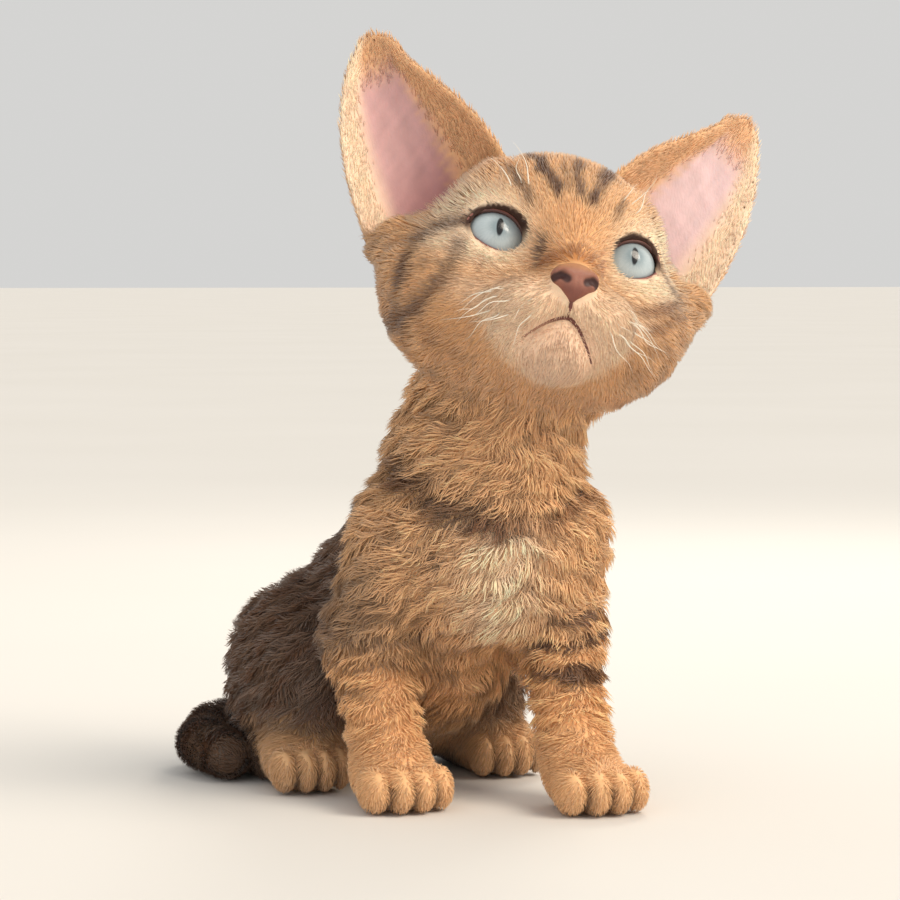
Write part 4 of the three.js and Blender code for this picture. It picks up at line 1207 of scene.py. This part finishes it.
@dataclass
class Eye:
    """One eyeball: a sphere with the cornea's bulge in front."""

    side: Side
    inset: float = 0.15
    bulge: float = 0.55
    bulge_angle: float = 0.55
    gaze: tuple[float, float, float] = (0.088, -0.988, 0.13)
    rows: int = 64
    columns: int = 96

    def faces(self) -> Array:
        """The triangles between neighbouring rows, and a fan at either pole."""
        i, j = np.meshgrid(np.arange(self.rows - 2), np.arange(self.columns), indexing="ij")
        beside = (j + 1) % self.columns
        here, below = i * self.columns, (i + 1) * self.columns
        quads = np.stack([here + j, below + j, below + beside, here + beside], -1).reshape(-1, 4)
        column = np.arange(self.columns)
        following = (column + 1) % self.columns
        last = (self.rows - 2) * self.columns
        front = last + self.columns
        first_fan = np.stack([np.full(self.columns, front), column, following], 1)
        last_fan = np.stack([np.full(self.columns, front + 1), last + following, last + column], 1)
        return np.concatenate([quads[:, [0, 1, 2]], quads[:, [0, 2, 3]], first_fan, last_fan])

    def build(self, finish: bpy.types.Material) -> None:
        """Makes the eyeball and dresses it: r = R - inset + bulge exp(-(a / w)^2), a the angle from the gaze.

        Args:
            finish: its material.
        """
        gaze = unit(mirrored(self.gaze, self.side))
        right = unit(np.cross(gaze, [0, 0, 1.0]))
        up = np.cross(right, gaze)
        white = EYE_RADIUS - self.inset
        angle = np.linspace(0, np.pi, self.rows + 1)[1:-1, None]
        around = np.arange(self.columns)[None] * 2 * np.pi / self.columns
        radius = white + self.bulge * np.exp(-((angle / self.bulge_angle) ** 2))
        out = radius * np.sin(angle)
        points = (out * np.cos(around))[..., None] * right + (out * np.sin(around))[..., None] * up
        points = points + (radius * np.cos(angle) + 0 * around)[..., None] * gaze
        poles = np.array([gaze * (white + self.bulge), -gaze * white])
        points = np.concatenate([points.reshape(-1, 3), poles])
        name = f"eyeball_{self.side.label}"
        piece = made(name, HEAD.out(points + mirrored(EYE_AT, self.side)), self.faces())
        unwrapped(piece, "iris", np.stack([points @ right, points @ up], 1))
        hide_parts(f"eye_{self.side.label}")
        piece.data.materials.append(finish)
        log.info("%s", name)


@dataclass
class Lids:
    """One eye's bare lid rims: a flattened band round the almond opening, broad above and narrow below."""

    side: Side
    inner: tuple[float, float, float] = (6.5, 3.85, 0.7)
    outer: tuple[float, float, float] = (7.5, 4.55, 1.6)
    lift: float = 0.1
    reach: float = 8.75
    height: float = 0.42
    more_height: float = 0.12
    overlap: float = 0.56
    steps: int = 84
    sides: int = 12
    flesh: str = "45261f"
    wet: str = "a3675a"
    dark: str = "38221a"

    def edge(self, sizes: tuple[float, float, float], around: Array, above: Array) -> Array:
        """One edge of the band: (a cos t, (b + c above) sin t), with a, b and c as its sizes."""
        half, low, more = sizes
        return np.stack([half * np.cos(around), (low + more * above) * np.sin(around)], 1)

    def build(self, finish: bpy.types.Material) -> None:
        """Makes the rims on a sphere a little larger than the eye, and dresses them.

        Args:
            finish: their material.
        """
        around = np.arange(self.steps) * 2 * np.pi / self.steps
        above = ramp(-0.25, 0.35, np.sin(around))
        inner = self.edge(self.inner, around, above)
        outer = self.edge(self.outer, around, above) + [0, self.lift]
        turn = lid_turn(self.side)
        flat = (inner + outer) / 2
        depth = np.sqrt(self.reach**2 - (flat**2).sum(1))
        local = np.concatenate([flat, depth[:, None]], 1)
        girth = self.overlap * np.linalg.norm(outer - inner, axis=1)
        path = HEAD.out(local @ turn.T + mirrored(EYE_AT, self.side))
        ups = unit(local) @ turn.T @ HEAD.turn.T
        height = self.height + self.more_height * above
        vertices, quads = tube(path, girth, height, ups, self.sides, ring=True)
        outward = np.tile(np.cos(np.arange(self.sides) * 2 * np.pi / self.sides), len(path))
        colours = np.broadcast_to(tone(self.flesh), vertices.shape)
        colours = blended(colours, tone(self.wet), ramp(-0.95, -0.6, outward))
        colours = blended(colours, tone(self.dark), ramp(0.1, 0.6, outward))
        piece = made(f"lid_rim_{self.side.label}", vertices, quads, colours)
        piece.data.materials.append(finish)
        log.info("lid_rim_%s", self.side.label)


@dataclass
class Nose:
    """The nose leather: its own fine clay, broad above and pointed below, with comma-shaped nostrils."""

    middle: tuple[float, float, float] = (0, -33, -12)
    reach: float = 12.0
    cell: float = 0.24
    leather: str = "9a6553"
    # Painted shade on the leather's underside.
    lower: str = "7d453a"
    upper: str = "b47d52"
    # Painted shade inside the nostrils.
    hole: str = "3c1a16"

    def model(self) -> Clay:
        """The leather, with its nostrils and the groove between them cut in it."""
        middle = HEAD.out(self.middle)
        clay = Clay(tuple(middle - self.reach), tuple(middle + self.reach), self.cell)
        clay.pose = HEAD
        clay.egg((0, -32.2, -10.8), (5.0, 3.7, 3.2), 1)
        for side in Side:
            clay.egg((2.9 * side.value, -32.9, -11.7), (2.5, 3.0, 2.3), 1.4)
        clay.egg((0, -32.6, -13.4), (3.3, 2.9, 2.5), 1.2)
        clay.limb((0, -33.2, -12.5), (0, -32.2, -16.2), (1.9, 0.6), 1.4)
        for side in Side:
            nostril = [(2.3, -36.2, -12.5), (3.7, -35.4, -11.8), (5.3, -34.0, -12.6)]
            inner, bend, outer = mirrored(nostril, side)
            clay.limb(inner, bend, (1.0, 0.85), 0.8, cut=True)
            clay.limb(bend, outer, (0.8, 0.35), 0.7, cut=True)
        clay.limb((0, -36.6, -10.5), (0, -35.0, -17), (0.25, 0.25), 0.5, cut=True)
        return clay

    def build(self) -> None:
        """Makes the nose and dresses it: lighter above, with painted shade below and in the nostrils."""
        vertices, quads = self.model().surface()
        vertices = relaxed(vertices, quads, 0.5, 3)
        local = HEAD.into(vertices)
        colour = np.broadcast_to(tone(self.leather), local.shape)
        # Painted shade on the underside of the leather.
        colour = blended(colour, tone(self.lower), 0.8 * ramp(-12.5, -15, local[:, 2]))
        colour = blended(colour, tone(self.upper), 0.9 * ramp(-11, -8.8, local[:, 2]))
        for side in Side:
            nostril = mirrored([(2.3, -35.4, -12.5), (3.7, -34.8, -11.8), (5.2, -33.6, -12.5)], side)
            away, _ = near_path(local, nostril)
            # Painted shade inside the nostrils.
            colour = blended(colour, tone(self.hole), ramp(1.3, 0.6, away))
        piece = made("nose", vertices, quads, colour)
        piece.data.materials.append(NoseFinish().material())
        log.info("nose: %d quads", len(quads))


@dataclass
class Mouth:
    """The line of the mouth, cut into the skin, and the dark lips along it."""

    half: float = 9.5
    steps: int = 49
    cut: float = 0.6
    lip: float = 0.46
    proud: float = 0.12
    dark: str = "6a382e"
    pale: str = "a87a62"

    def path(self) -> Array:
        """The line of the mouth in the head's frame: out to each corner, dropping further on the left."""
        share = np.linspace(-1, 1, self.steps)
        x = self.half * share
        z = -20 - np.where(share > 0, 9.0, 6.0) * np.abs(share) ** 1.25
        y = -31.6 + 4.2 * np.abs(share) ** 1.7
        return np.stack([x, y, z], 1)

    def carve(self, clay: Clay) -> None:
        """Cuts the line into the clay, which has the head's pose."""
        path = self.path() + [0, 0.6, 0]
        for start, end in zip(path[:-1], path[1:]):
            clay.limb(start, end, (self.cut, self.cut), 0.9, cut=True)

    def lips(self, clay: Clay, finish: bpy.types.Material) -> None:
        """Makes the dark line where the lips meet and the groove up to the nose, half sunk in the skin.

        Args:
            clay: the skin's distances.
            finish: the lips' material.
        """
        parts = []
        groove = np.stack([np.zeros(9), np.full(9, -31.8), np.linspace(-20.2, -15.2, 9)], 1)
        for path in (self.path(), groove):
            points = HEAD.out(path)
            for _ in range(4):
                points = points - clay.slope(points, 1.8) * clay.at(points)[:, None]
            for _ in range(8):
                points[1:-1] = (points[:-2] + 2 * points[1:-1] + points[2:]) / 4
            ups = clay.slope(points, 1.8)
            girth = self.lip * np.sin(np.linspace(0.2, np.pi - 0.2, len(path))) ** 0.6
            parts.append(tube(points + self.proud * ups, girth, girth * 0.8, ups, 8))
        vertices, quads = joined(parts)
        faded = ramp(-1, -6, HEAD.into(vertices)[:, 0])
        colour = blended(np.broadcast_to(tone(self.dark), vertices.shape), tone(self.pale), faded)
        piece = made("lips", vertices, quads, colour)
        piece.data.materials.append(finish)
        log.info("lips")


@dataclass
class Whiskers:
    """Short curly whiskers on both pads and over the eyes: fine tubes that bend and curl at their ends."""

    seed: int = 12
    girth: float = 0.19
    on_pad: tuple[float, float] = (7, 12)
    on_brow: tuple[float, float] = (9, 14)

    def build(self, clay: Clay) -> None:
        """Makes all the whiskers as one piece and dresses it.

        Args:
            clay: the skin's distances, which give each root's place.
        """
        draw = np.random.default_rng(self.seed)
        parts = []
        for side in Side:
            starts = [(8 + 2.6 * i, -30 + 1.6 * i, -14.5 - 2.4 * j) for i in range(4) for j in range(3)]
            for start in starts:
                way = unit(np.array([1.0, 0.4, -0.7 + 0.25 * draw.normal()]))
                length = draw.uniform(*self.on_pad)
                parts.append(self.hair(clay, mirrored(start, side), mirrored(way, side), length, draw))
            for i in range(3):
                start = (10 + 2 * i, -21, 11)
                way = unit(np.array([0.1 + 0.15 * i, 0.1, 1.0]))
                length = draw.uniform(*self.on_brow)
                parts.append(self.hair(clay, mirrored(start, side), mirrored(way, side), length, draw))
        vertices, quads = joined(parts)
        piece = made("whiskers", vertices, quads)
        piece.data.materials.append(WhiskerFinish().material())
        log.info("whiskers")

    def hair(self, clay: Clay, start: Array, way: Array, length: float, draw: np.random.Generator) -> tuple:
        """One whisker: p0 + s way + curl (s / l)^2.2, thinning to a point.

        Args:
            clay: the skin's distances.
            start: about where it stands, in the head's frame.
            way: where it points, in the head's frame.
            length: its length.
            draw: the random numbers.

        Returns:
            Its vertices and quads.
        """
        point = HEAD.out(np.array([start], float))
        for _ in range(6):
            point = point - clay.slope(point) * clay.at(point)[:, None]
        out = clay.slope(point)[0]
        share = np.linspace(0, 1, 16)[:, None]
        along = unit(HEAD.turn @ way + 0.25 * out)
        aside = unit(np.cross(along, draw.normal(size=3))) * draw.uniform(0.15, 0.35)
        bend = aside - 0.15 * np.array([0, 0, 1])
        ripple = unit(np.cross(along, bend)) * 0.05 * np.sin(9 * share)
        path = point - 0.6 * out + length * (share * along + share**2.2 * bend + ripple)
        girth = self.girth * (1.03 - share[:, 0])
        return tube(path, girth, girth, np.broadcast_to(unit(np.cross(along, bend)), path.shape), 5)


@dataclass
class Kitten:
    """The kitten's skin and coat, and where the two are bare."""

    cell: float = 0.88
    seed: int = 11
    fullness: float = 0.9
    quick_fullness: float = 0.35
    skin_floor: float = 0.12
    tuft_floor: float = 0.1
    socket: float = 8.3
    tail_reach: float = 9.5
    foreleg_reach: float = 13.2
    ear_depth: float = 0.55
    ear_tuft: float = 2.4
    form: Form = field(default_factory=Form)
    ears: list[Ear] = field(default_factory=lambda: [Ear(side) for side in Side])
    mouth: Mouth = field(default_factory=Mouth)
    markings: Markings = field(default_factory=Markings)
    fringe: Array = field(
        default_factory=lambda: np.array(
            [[14, -9, 24], [17.5, -14, 18], [21, -15, 13], [25, -12, 9], [28, -8, 6]], float
        )
    )

    def mould(self) -> Clay:
        """The skin's clay: the flesh drawn in by the coat's depth, with mouth, sockets and lids cut in it."""
        clay = Clay((-64, -66, -4), (88, 92, 192), self.cell)
        self.form.trunk(clay)
        self.form.legs(clay)
        self.form.tail(clay)
        self.form.head(clay)
        _, points = clay.window(clay.low, clay.low + clay.size * self.cell)
        clay.values += coat_depth(points).astype(np.float32)
        clay.values = np.maximum(clay.values, (self.skin_floor - points[..., 2]).astype(np.float32))
        for ear in self.ears:
            clay.sheet(*ear.sheet(), blend=4.5)
        self.carve_face(clay)
        return clay

    def carve_face(self, clay: Clay) -> None:
        """Cuts the mouth's line, the sockets and the openings of the lids."""
        clay.pose = HEAD
        self.mouth.carve(clay)
        for side in Side:
            centre, turn = mirrored(EYE_AT, side), lid_turn(side)
            clay.egg(centre, (self.socket,) * 3, 0.4, cut=True)
            clay.egg(centre + turn @ [0, LID_RISE, 11.5], (*LID_OPENING, 9), 0.5, turn, cut=True)
        clay.pose = BODY

    def skin(self, clay: Clay) -> tuple[Array, Array, Array]:
        """Makes the skin and dresses it.

        Args:
            clay: the skin's distances.

        Returns:
            Its vertices, quads and normals, for the coat to stand on.
        """
        vertices, quads = clay.surface()
        vertices = relaxed(vertices, quads, 0.5, 2)
        colours = self.markings.at(vertices, self.form, self.ears)
        piece = made("skin", vertices, quads, colours)
        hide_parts(*FLESH_NODES)
        piece.data.materials.append(SkinFinish().material())
        log.info("skin: %d quads", len(quads))
        return vertices, quads, normals_of(vertices, quads)

    def lie(self, points: Array, normals: Array) -> Array:
        """Which way the coat lies: away from the nose on the head, down and back on the body, along the tail
        and up the ears, turned a little from side to side in waves.

        Args:
            points: where the tufts stand.
            normals: the skin's outward directions there.

        Returns:
            A direction along the skin at each point.
        """
        local = HEAD.into(points)
        from_nose = local - [0, -30, -8]
        from_nose[:, 1] = np.abs(from_nose[:, 1]) + 2
        x, y, z = points.T
        aside = 1.5 * np.clip((x - 8) / 22, -1, 1) * ramp(12, -6, y) * ramp(36, 52, z) * ramp(104, 88, z)
        down = unit(np.stack([aside, np.full(len(x), 0.5), np.full(len(x), -1.0)], 1))
        way = blended(down, unit(from_nose) @ HEAD.turn.T, ramp(-6, 4, head_depth(points)))
        distance, _ = near_path(points, self.form.tail_path)
        for start, end in zip(self.form.tail_path[:-1], self.form.tail_path[1:]):
            near, _ = near_path(points, np.array([start, end]))
            nearest = (near <= distance + 0.01) & (distance < self.tail_reach)
            way = np.where(nearest[:, None], unit(end - start), way)
        for ear in self.ears:
            _, _, _, on = ear.place(points)
            axis, _, outward = ear.axes()
            way = np.where(on[:, None], HEAD.turn @ (axis - 0.25 * outward), way)
        way = unit(way - (way * normals).sum(1, keepdims=True) * normals)
        depth = coat_depth(points)
        sway = (0.12 + 0.22 * ramp(0.8, 2.4, depth)) * (swell(points, 17, 1) + 1.4 * swell(points, 5.6, 4))
        return unit(way * np.cos(sway)[:, None] + np.cross(normals, way) * np.sin(sway)[:, None])

    def expected(self, middle: Array, area: Array) -> Array:
        """How many tufts each face of the skin should carry: most where the coat is shortest, and none on
        the cups of the ears, the eyes and their lids, the lips, the nose and the soles.

        Args:
            middle: the faces' middles.
            area: their areas.
        """
        depth = coat_depth(middle)
        thick = 2.15 + 1.75 * np.exp(-(depth - 0.7) / 0.7)
        furred = np.ones(len(middle))
        for ear in self.ears:
            u, v, front, on = ear.place(middle)
            ragged = 0.06 * swell(middle, 2.6, 6)
            bare = (front > 0) * ramp(-0.42, -0.34, u + ragged) * ramp(0.64, 0.56, u + ragged)
            bare = bare * ramp(0.8, 0.75, v + ragged)
            furred = np.where(on, 1.1 * (1 - bare), furred)
        local = HEAD.into(middle)
        for side in Side:
            furred = np.where(np.linalg.norm(local - mirrored(EYE_AT, side), axis=1) < 8.75, 0, furred)
            furred = np.where(lid_reach(local, side) < 1.07, 0, furred)
        mouth, _ = near_path(local, self.mouth.path())
        nose = np.linalg.norm((local - [0, -33.5, -12]) / [5.0, 4.5, 4.3], axis=1)
        bald = (mouth < 1.2) | (nose < 1) | (middle[:, 2] < 1.4)
        return area * thick * np.where(bald, 0, furred)

    def roots(self, vertices: Array, quads: Array, normals: Array) -> Roots:
        """Picks the tufts' places evenly over the skin: one at random in each step of the faces' running sum.

        Args:
            vertices: the skin's vertices.
            quads: its quads.
            normals: the outward direction at each vertex.

        Returns:
            The places, with each tuft's sizes and colour.
        """
        draw = np.random.default_rng(self.seed)
        corners = vertices[quads]
        diagonals = corners[:, 2] - corners[:, 0], corners[:, 3] - corners[:, 1]
        area = 0.5 * np.linalg.norm(np.cross(*diagonals), axis=1)
        share = self.fullness
        total = np.cumsum(self.expected(corners.mean(1), area) * share)
        count = int(total[-1])
        face = np.searchsorted(total, np.arange(count) + draw.random(count))
        face = np.clip(face, 0, len(quads) - 1)
        s, t = draw.random((2, count, 1))
        weights = np.stack([(1 - s) * (1 - t), s * (1 - t), s * t, (1 - s) * t], 1)
        points = (corners[face] * weights).sum(1)
        up = unit((normals[quads[face]] * weights).sum(1))
        return self.groomed(points, up, draw)

    def groomed(self, points: Array, up: Array, draw: np.random.Generator) -> Roots:
        """Gives each tuft its size: longer with the coat's depth, on the crown and at the ears' roots, and
        shorter round the mouth and the lids and on the forelegs.

        Args:
            points: where the tufts stand.
            up: the skin's outward directions there.
            draw: the random numbers.
        """
        count = len(points)
        on_ear = np.zeros(count, bool)
        for ear in self.ears:
            on_ear |= ear.place(points)[3]
        depth = np.where(on_ear, self.ear_depth, coat_depth(points))
        wavy = ramp(0.9, 2.3, depth)
        crest = self.crest(points)
        length = (1.3 + 1.75 * depth) * draw.uniform(0.75, 1.25, count)
        rise = depth * (1 - wavy * (0.3 - 0.42 * crest)) * draw.uniform(0.8, 1.1, count)
        local = HEAD.into(points)
        crown = ramp(16, 25, local[:, 2]) * ~on_ear
        rise, length = rise + 1.0 * crown, length * (1 + 0.6 * crown)
        mouth, _ = near_path(local, self.mouth.path())
        length = length * np.clip((mouth - 0.6) / 2.5, 0.35, 1)
        for side in Side:
            length = length * np.clip((lid_reach(local, side) - 1) * 4, 0.45, 1)
            fringe, _ = near_path(local, mirrored(self.fringe, side))
            near = ramp(5, 1.5, fringe) * ~on_ear
            rise, length = rise + 2.2 * near, length * (1 + 1.3 * near)
        length = length * (1 - 0.4 * ramp(46, 34, points[:, 2]) * ramp(8, -2, points[:, 1]))
        tail, _ = near_path(points, self.form.tail_path)
        rise = rise + 0.8 * (tail < self.tail_reach)
        # Each tuft's own random tone, with painted light on the ripples' crests and painted shade in their
        # troughs.
        shade = draw.uniform(0.84, 1.14, count) * (1 + 0.14 * wavy * crest)
        return Roots(
            points=points,
            normals=up,
            lie=self.lie(points, up),
            length=np.where(on_ear, self.ear_tuft, length),
            width=(0.23 + 0.085 * depth) * draw.uniform(0.75, 1.25, count),
            rise=rise,
            curl=(0.25 + 1.0 * wavy) * draw.uniform(0.8, 1.2, count),
            phase=2.2 * swell(points * [1, 1, 1.3], 13, 7) + draw.uniform(-0.5, 0.5, count),
            on_ear=on_ear,
            colour=self.markings.at(points, self.form, self.ears) * shade[:, None],
        )

    def crest(self, points: Array) -> Array:
        """The coat's ripples, -1 to 1: a sine down the body whose phase wanders and drops to either side."""
        drop = points[:, 2] + 0.35 * np.abs(points[:, 0] - 8) + 0.3 * points[:, 1]
        return np.sin(drop * 2 * np.pi / 5.4 + 2.4 * swell(points, 18, 3))

    def regions(self, roots: Roots) -> dict[str, tuple[Array, Array]]:
        """Shares the roots out among the pieces of the coat.

        Args:
            roots: all of them.

        Returns:
            For each piece, which roots are its own, and every root's place on an unwrap of that part's
            shape: the angle round its own axis, and the place along that axis.
        """
        points = roots.points
        x, y, z = points.T
        local = HEAD.into(points)
        tail_near, tail_along = near_path(points, self.form.tail_path)
        parts: dict[str, tuple[Array, Array]] = {}
        left = np.ones(len(points), bool)

        def claim(name: str, mask: Array, places: Array) -> None:
            """Gives the roots not yet taken to a piece."""
            nonlocal left
            parts[name] = (mask & left, places)
            left = left & ~mask

        def round_axis(centre: tuple[float, float], low: float, high: float) -> Array:
            """The angle about an upright axis, and the height."""
            angle = np.arctan2(x - centre[0], -(y - centre[1])) / (2 * np.pi) + 0.5
            return np.stack([angle, (z - low) / (high - low)], 1)

        for ear in self.ears:
            u, v, front, on = ear.place(points)
            places = np.stack([0.25 + 0.22 * u + 0.5 * (front < 0), 0.02 + 0.96 * v], 1)
            claim(f"coat_ear_{ear.side.label}", on, places)
        up = np.arctan2(local[:, 2] + 2, np.hypot(local[:, 0], local[:, 1])) / np.pi + 0.5
        about = np.arctan2(local[:, 0], -local[:, 1]) / (2 * np.pi) + 0.5
        globe = np.stack([about, up], 1)
        on_head = head_depth(points) > 0
        claim("coat_face_right", on_head & (about > 0.25) & (about <= 0.5), globe)
        claim("coat_face_left", on_head & (about > 0.5) & (about < 0.75), globe)
        claim("coat_nape", on_head, globe)
        round_tail = np.stack([np.arctan2(z - 8, x + y) / (2 * np.pi) + 0.5, tail_along / 100], 1)
        claim("coat_tail", (tail_near < self.tail_reach) & (tail_along > 4), round_tail)
        for side, leg in zip(Side, self.form.forelegs):
            _, elbow, wrist = np.array(leg.joints, float)
            near, _ = near_path(points, np.array([elbow + [0, 0, 6], wrist, leg.paw]))
            upright = round_axis((wrist[0], (elbow[1] + wrist[1]) / 2), -2, 60)
            claim(f"coat_foreleg_{side.label}", near < self.foreleg_reach, upright)
        for side, leg in zip(Side, self.form.hindlegs):
            haunch = (np.abs(x - leg.paw[0]) < 17) & (y > 4) & (z < 50)
            claim(f"coat_hindleg_{side.label}", haunch, round_axis(leg.joints[0][:2], -2, 60))
        claim("coat_neck", z > 78, round_axis((10, -6), 70, 120))
        claim("coat_chest", y < 2, round_axis((7, 2), 10, 100))
        claim("coat_back_right", x < 2, round_axis((0, 30), 0, 100))
        claim("coat_back_left", left, round_axis((0, 30), 0, 100))
        return parts

    def coat(self, clay: Clay, vertices: Array, quads: Array, normals: Array) -> None:
        """Grows the coat, in pieces, and dresses it.

        Args:
            clay: the skin's distances.
            vertices: its vertices.
            quads: its quads.
            normals: the outward direction at each vertex.
        """
        roots = self.roots(vertices, quads, normals)
        fur = FurFinish().material()
        long_lock = Lock()
        # Its third numbers are the short tufts' painted shade from root to tip.
        short_lock = Lock((0.0, 0.5), (0.85, 0.9), (0.86, 1.0, 1.06))
        for name, (mask, places) in self.regions(roots).items():
            chosen = roots.picked(mask)
            is_short = np.median(coat_depth(chosen.points)) < 1.5 or "ear" in name
            lock = short_lock if is_short else long_lock
            corners, painted_shades, patches = lock.grown(chosen, clay)
            count, size = corners.shape[:2]
            faces = (np.arange(count)[:, None, None] * size + lock.faces()[None]).reshape(-1, 3)
            corners[..., 2] = np.maximum(corners[..., 2], self.tuft_floor)
            # Each corner takes its tuft's colour times the painted shade or light of its place on the tuft.
            colours = (chosen.colour[:, None] * painted_shades[None, :, None]).reshape(-1, 3)
            piece = made(name, corners.reshape(-1, 3), faces, np.clip(colours, 0, 1))
            unwrapped(piece, "OFBake", (places[mask][:, None] + patches[None]).reshape(-1, 2))
            "ear" if "ear" in name else "coat"
            piece.data.materials.append(fur)
            log.info("%s: %d tufts, %d triangles", name, count, len(faces))


@dataclass
class Studio:
    """The camera at the photograph's angle, soft lights and a pale floor."""

    azimuth: float = -22.0
    distance: float = 720.0
    height: float = 122.0
    pitch: float = 3.2
    lens: float = 122.4

    def camera(self) -> None:
        """Places the camera."""
        angle = np.radians(self.azimuth)
        ahead = np.array([-np.sin(angle), np.cos(angle), 0])
        place = -ahead * self.distance + [0, 0, self.height]
        data = bpy.data.cameras.new("camera")
        data.lens = self.lens
        camera = bpy.data.objects.new("camera", data)
        camera.location = (place + SHIFT * [1, 1, 0]) / MM_PER_METRE
        camera.rotation_euler = (np.radians(90 - self.pitch), 0, angle)
        bpy.context.scene.collection.objects.link(camera)
        bpy.context.scene.camera = camera

    def light(self, name: str, place: tuple, size: float, power: float, colour: str) -> None:
        """An area light turned to the kitten.

        Args:
            name: its name.
            place: where it stands, in metres.
            size: the width of its disc, in metres.
            power: its power in watts.
            colour: its colour's code.
        """
        data = bpy.data.lights.new(name, "AREA")
        data.shape = "DISK"
        data.size = size
        data.energy = power
        data.color = tuple(tone(colour))
        lamp = bpy.data.objects.new(name, data)
        lamp.location = place
        lamp.rotation_euler = (Vector((0, 0, 0.09)) - Vector(place)).to_track_quat("-Z", "Y").to_euler()
        bpy.context.scene.collection.objects.link(lamp)

    def lights(self) -> None:
        """A warm soft key from the kitten's front left, a cool fill and a rim from behind."""
        self.light("key", (1.1, -1.2, 1.15), 0.8, 5, "fff4e4")
        self.light("fill", (-1.3, -1.1, 0.7), 1.2, 2.5, "fbf8ff")
        self.light("rim", (0.42, 0.5, 0.55), 0.3, 1.6, "fff6e8")
        data = bpy.data.lights.new("soft_sun", "SUN")
        data.energy = 1.9
        data.angle = np.radians(35)
        data.color = tuple(tone("fff3e2"))
        sun = bpy.data.objects.new("soft_sun", data)
        sun.rotation_euler = Vector((-0.7, 0.8, -1.1)).to_track_quat("-Z", "Y").to_euler()
        bpy.context.scene.collection.objects.link(sun)
        world = bpy.data.worlds.new("studio")
        world.use_nodes = True
        world.node_tree.nodes["Background"].inputs["Color"].default_value = (0.92, 0.915, 0.9, 1)
        world.node_tree.nodes["Background"].inputs["Strength"].default_value = 0.72
        bpy.context.scene.world = world
        bpy.context.scene.view_settings.view_transform = "Standard"

    def floor(self) -> None:
        """A pale floor, far wider than the view."""
        mesh = bpy.data.meshes.new("floor")
        half = 40.0
        corners = [(-half, -half, 0), (half, -half, 0), (half, half, 0), (-half, half, 0)]
        mesh.from_pydata(corners, [], [(0, 1, 2, 3)])
        ground = bpy.data.objects.new("floor", mesh)
        mesh.materials.append(FloorFinish().material())
        bpy.context.scene.collection.objects.link(ground)


def main() -> None:
    """Builds the kitten and its studio, in order."""
    logging.basicConfig(level=logging.INFO, format="%(message)s")
    studio = Studio()
    studio.camera()
    studio.lights()
    studio.floor()
    kitten = Kitten()
    clay = kitten.mould()
    vertices, quads, normals = kitten.skin(clay)
    kitten.coat(clay, vertices, quads, normals)
    eye, rim = EyeFinish().material(), LidFinish().material()
    for side in Side:
        Eye(side).build(eye)
        Lids(side).build(rim)
    Nose().build()
    kitten.mouth.lips(clay, rim)
    Whiskers().build(clay)


if __name__ == "__main__":
    main()
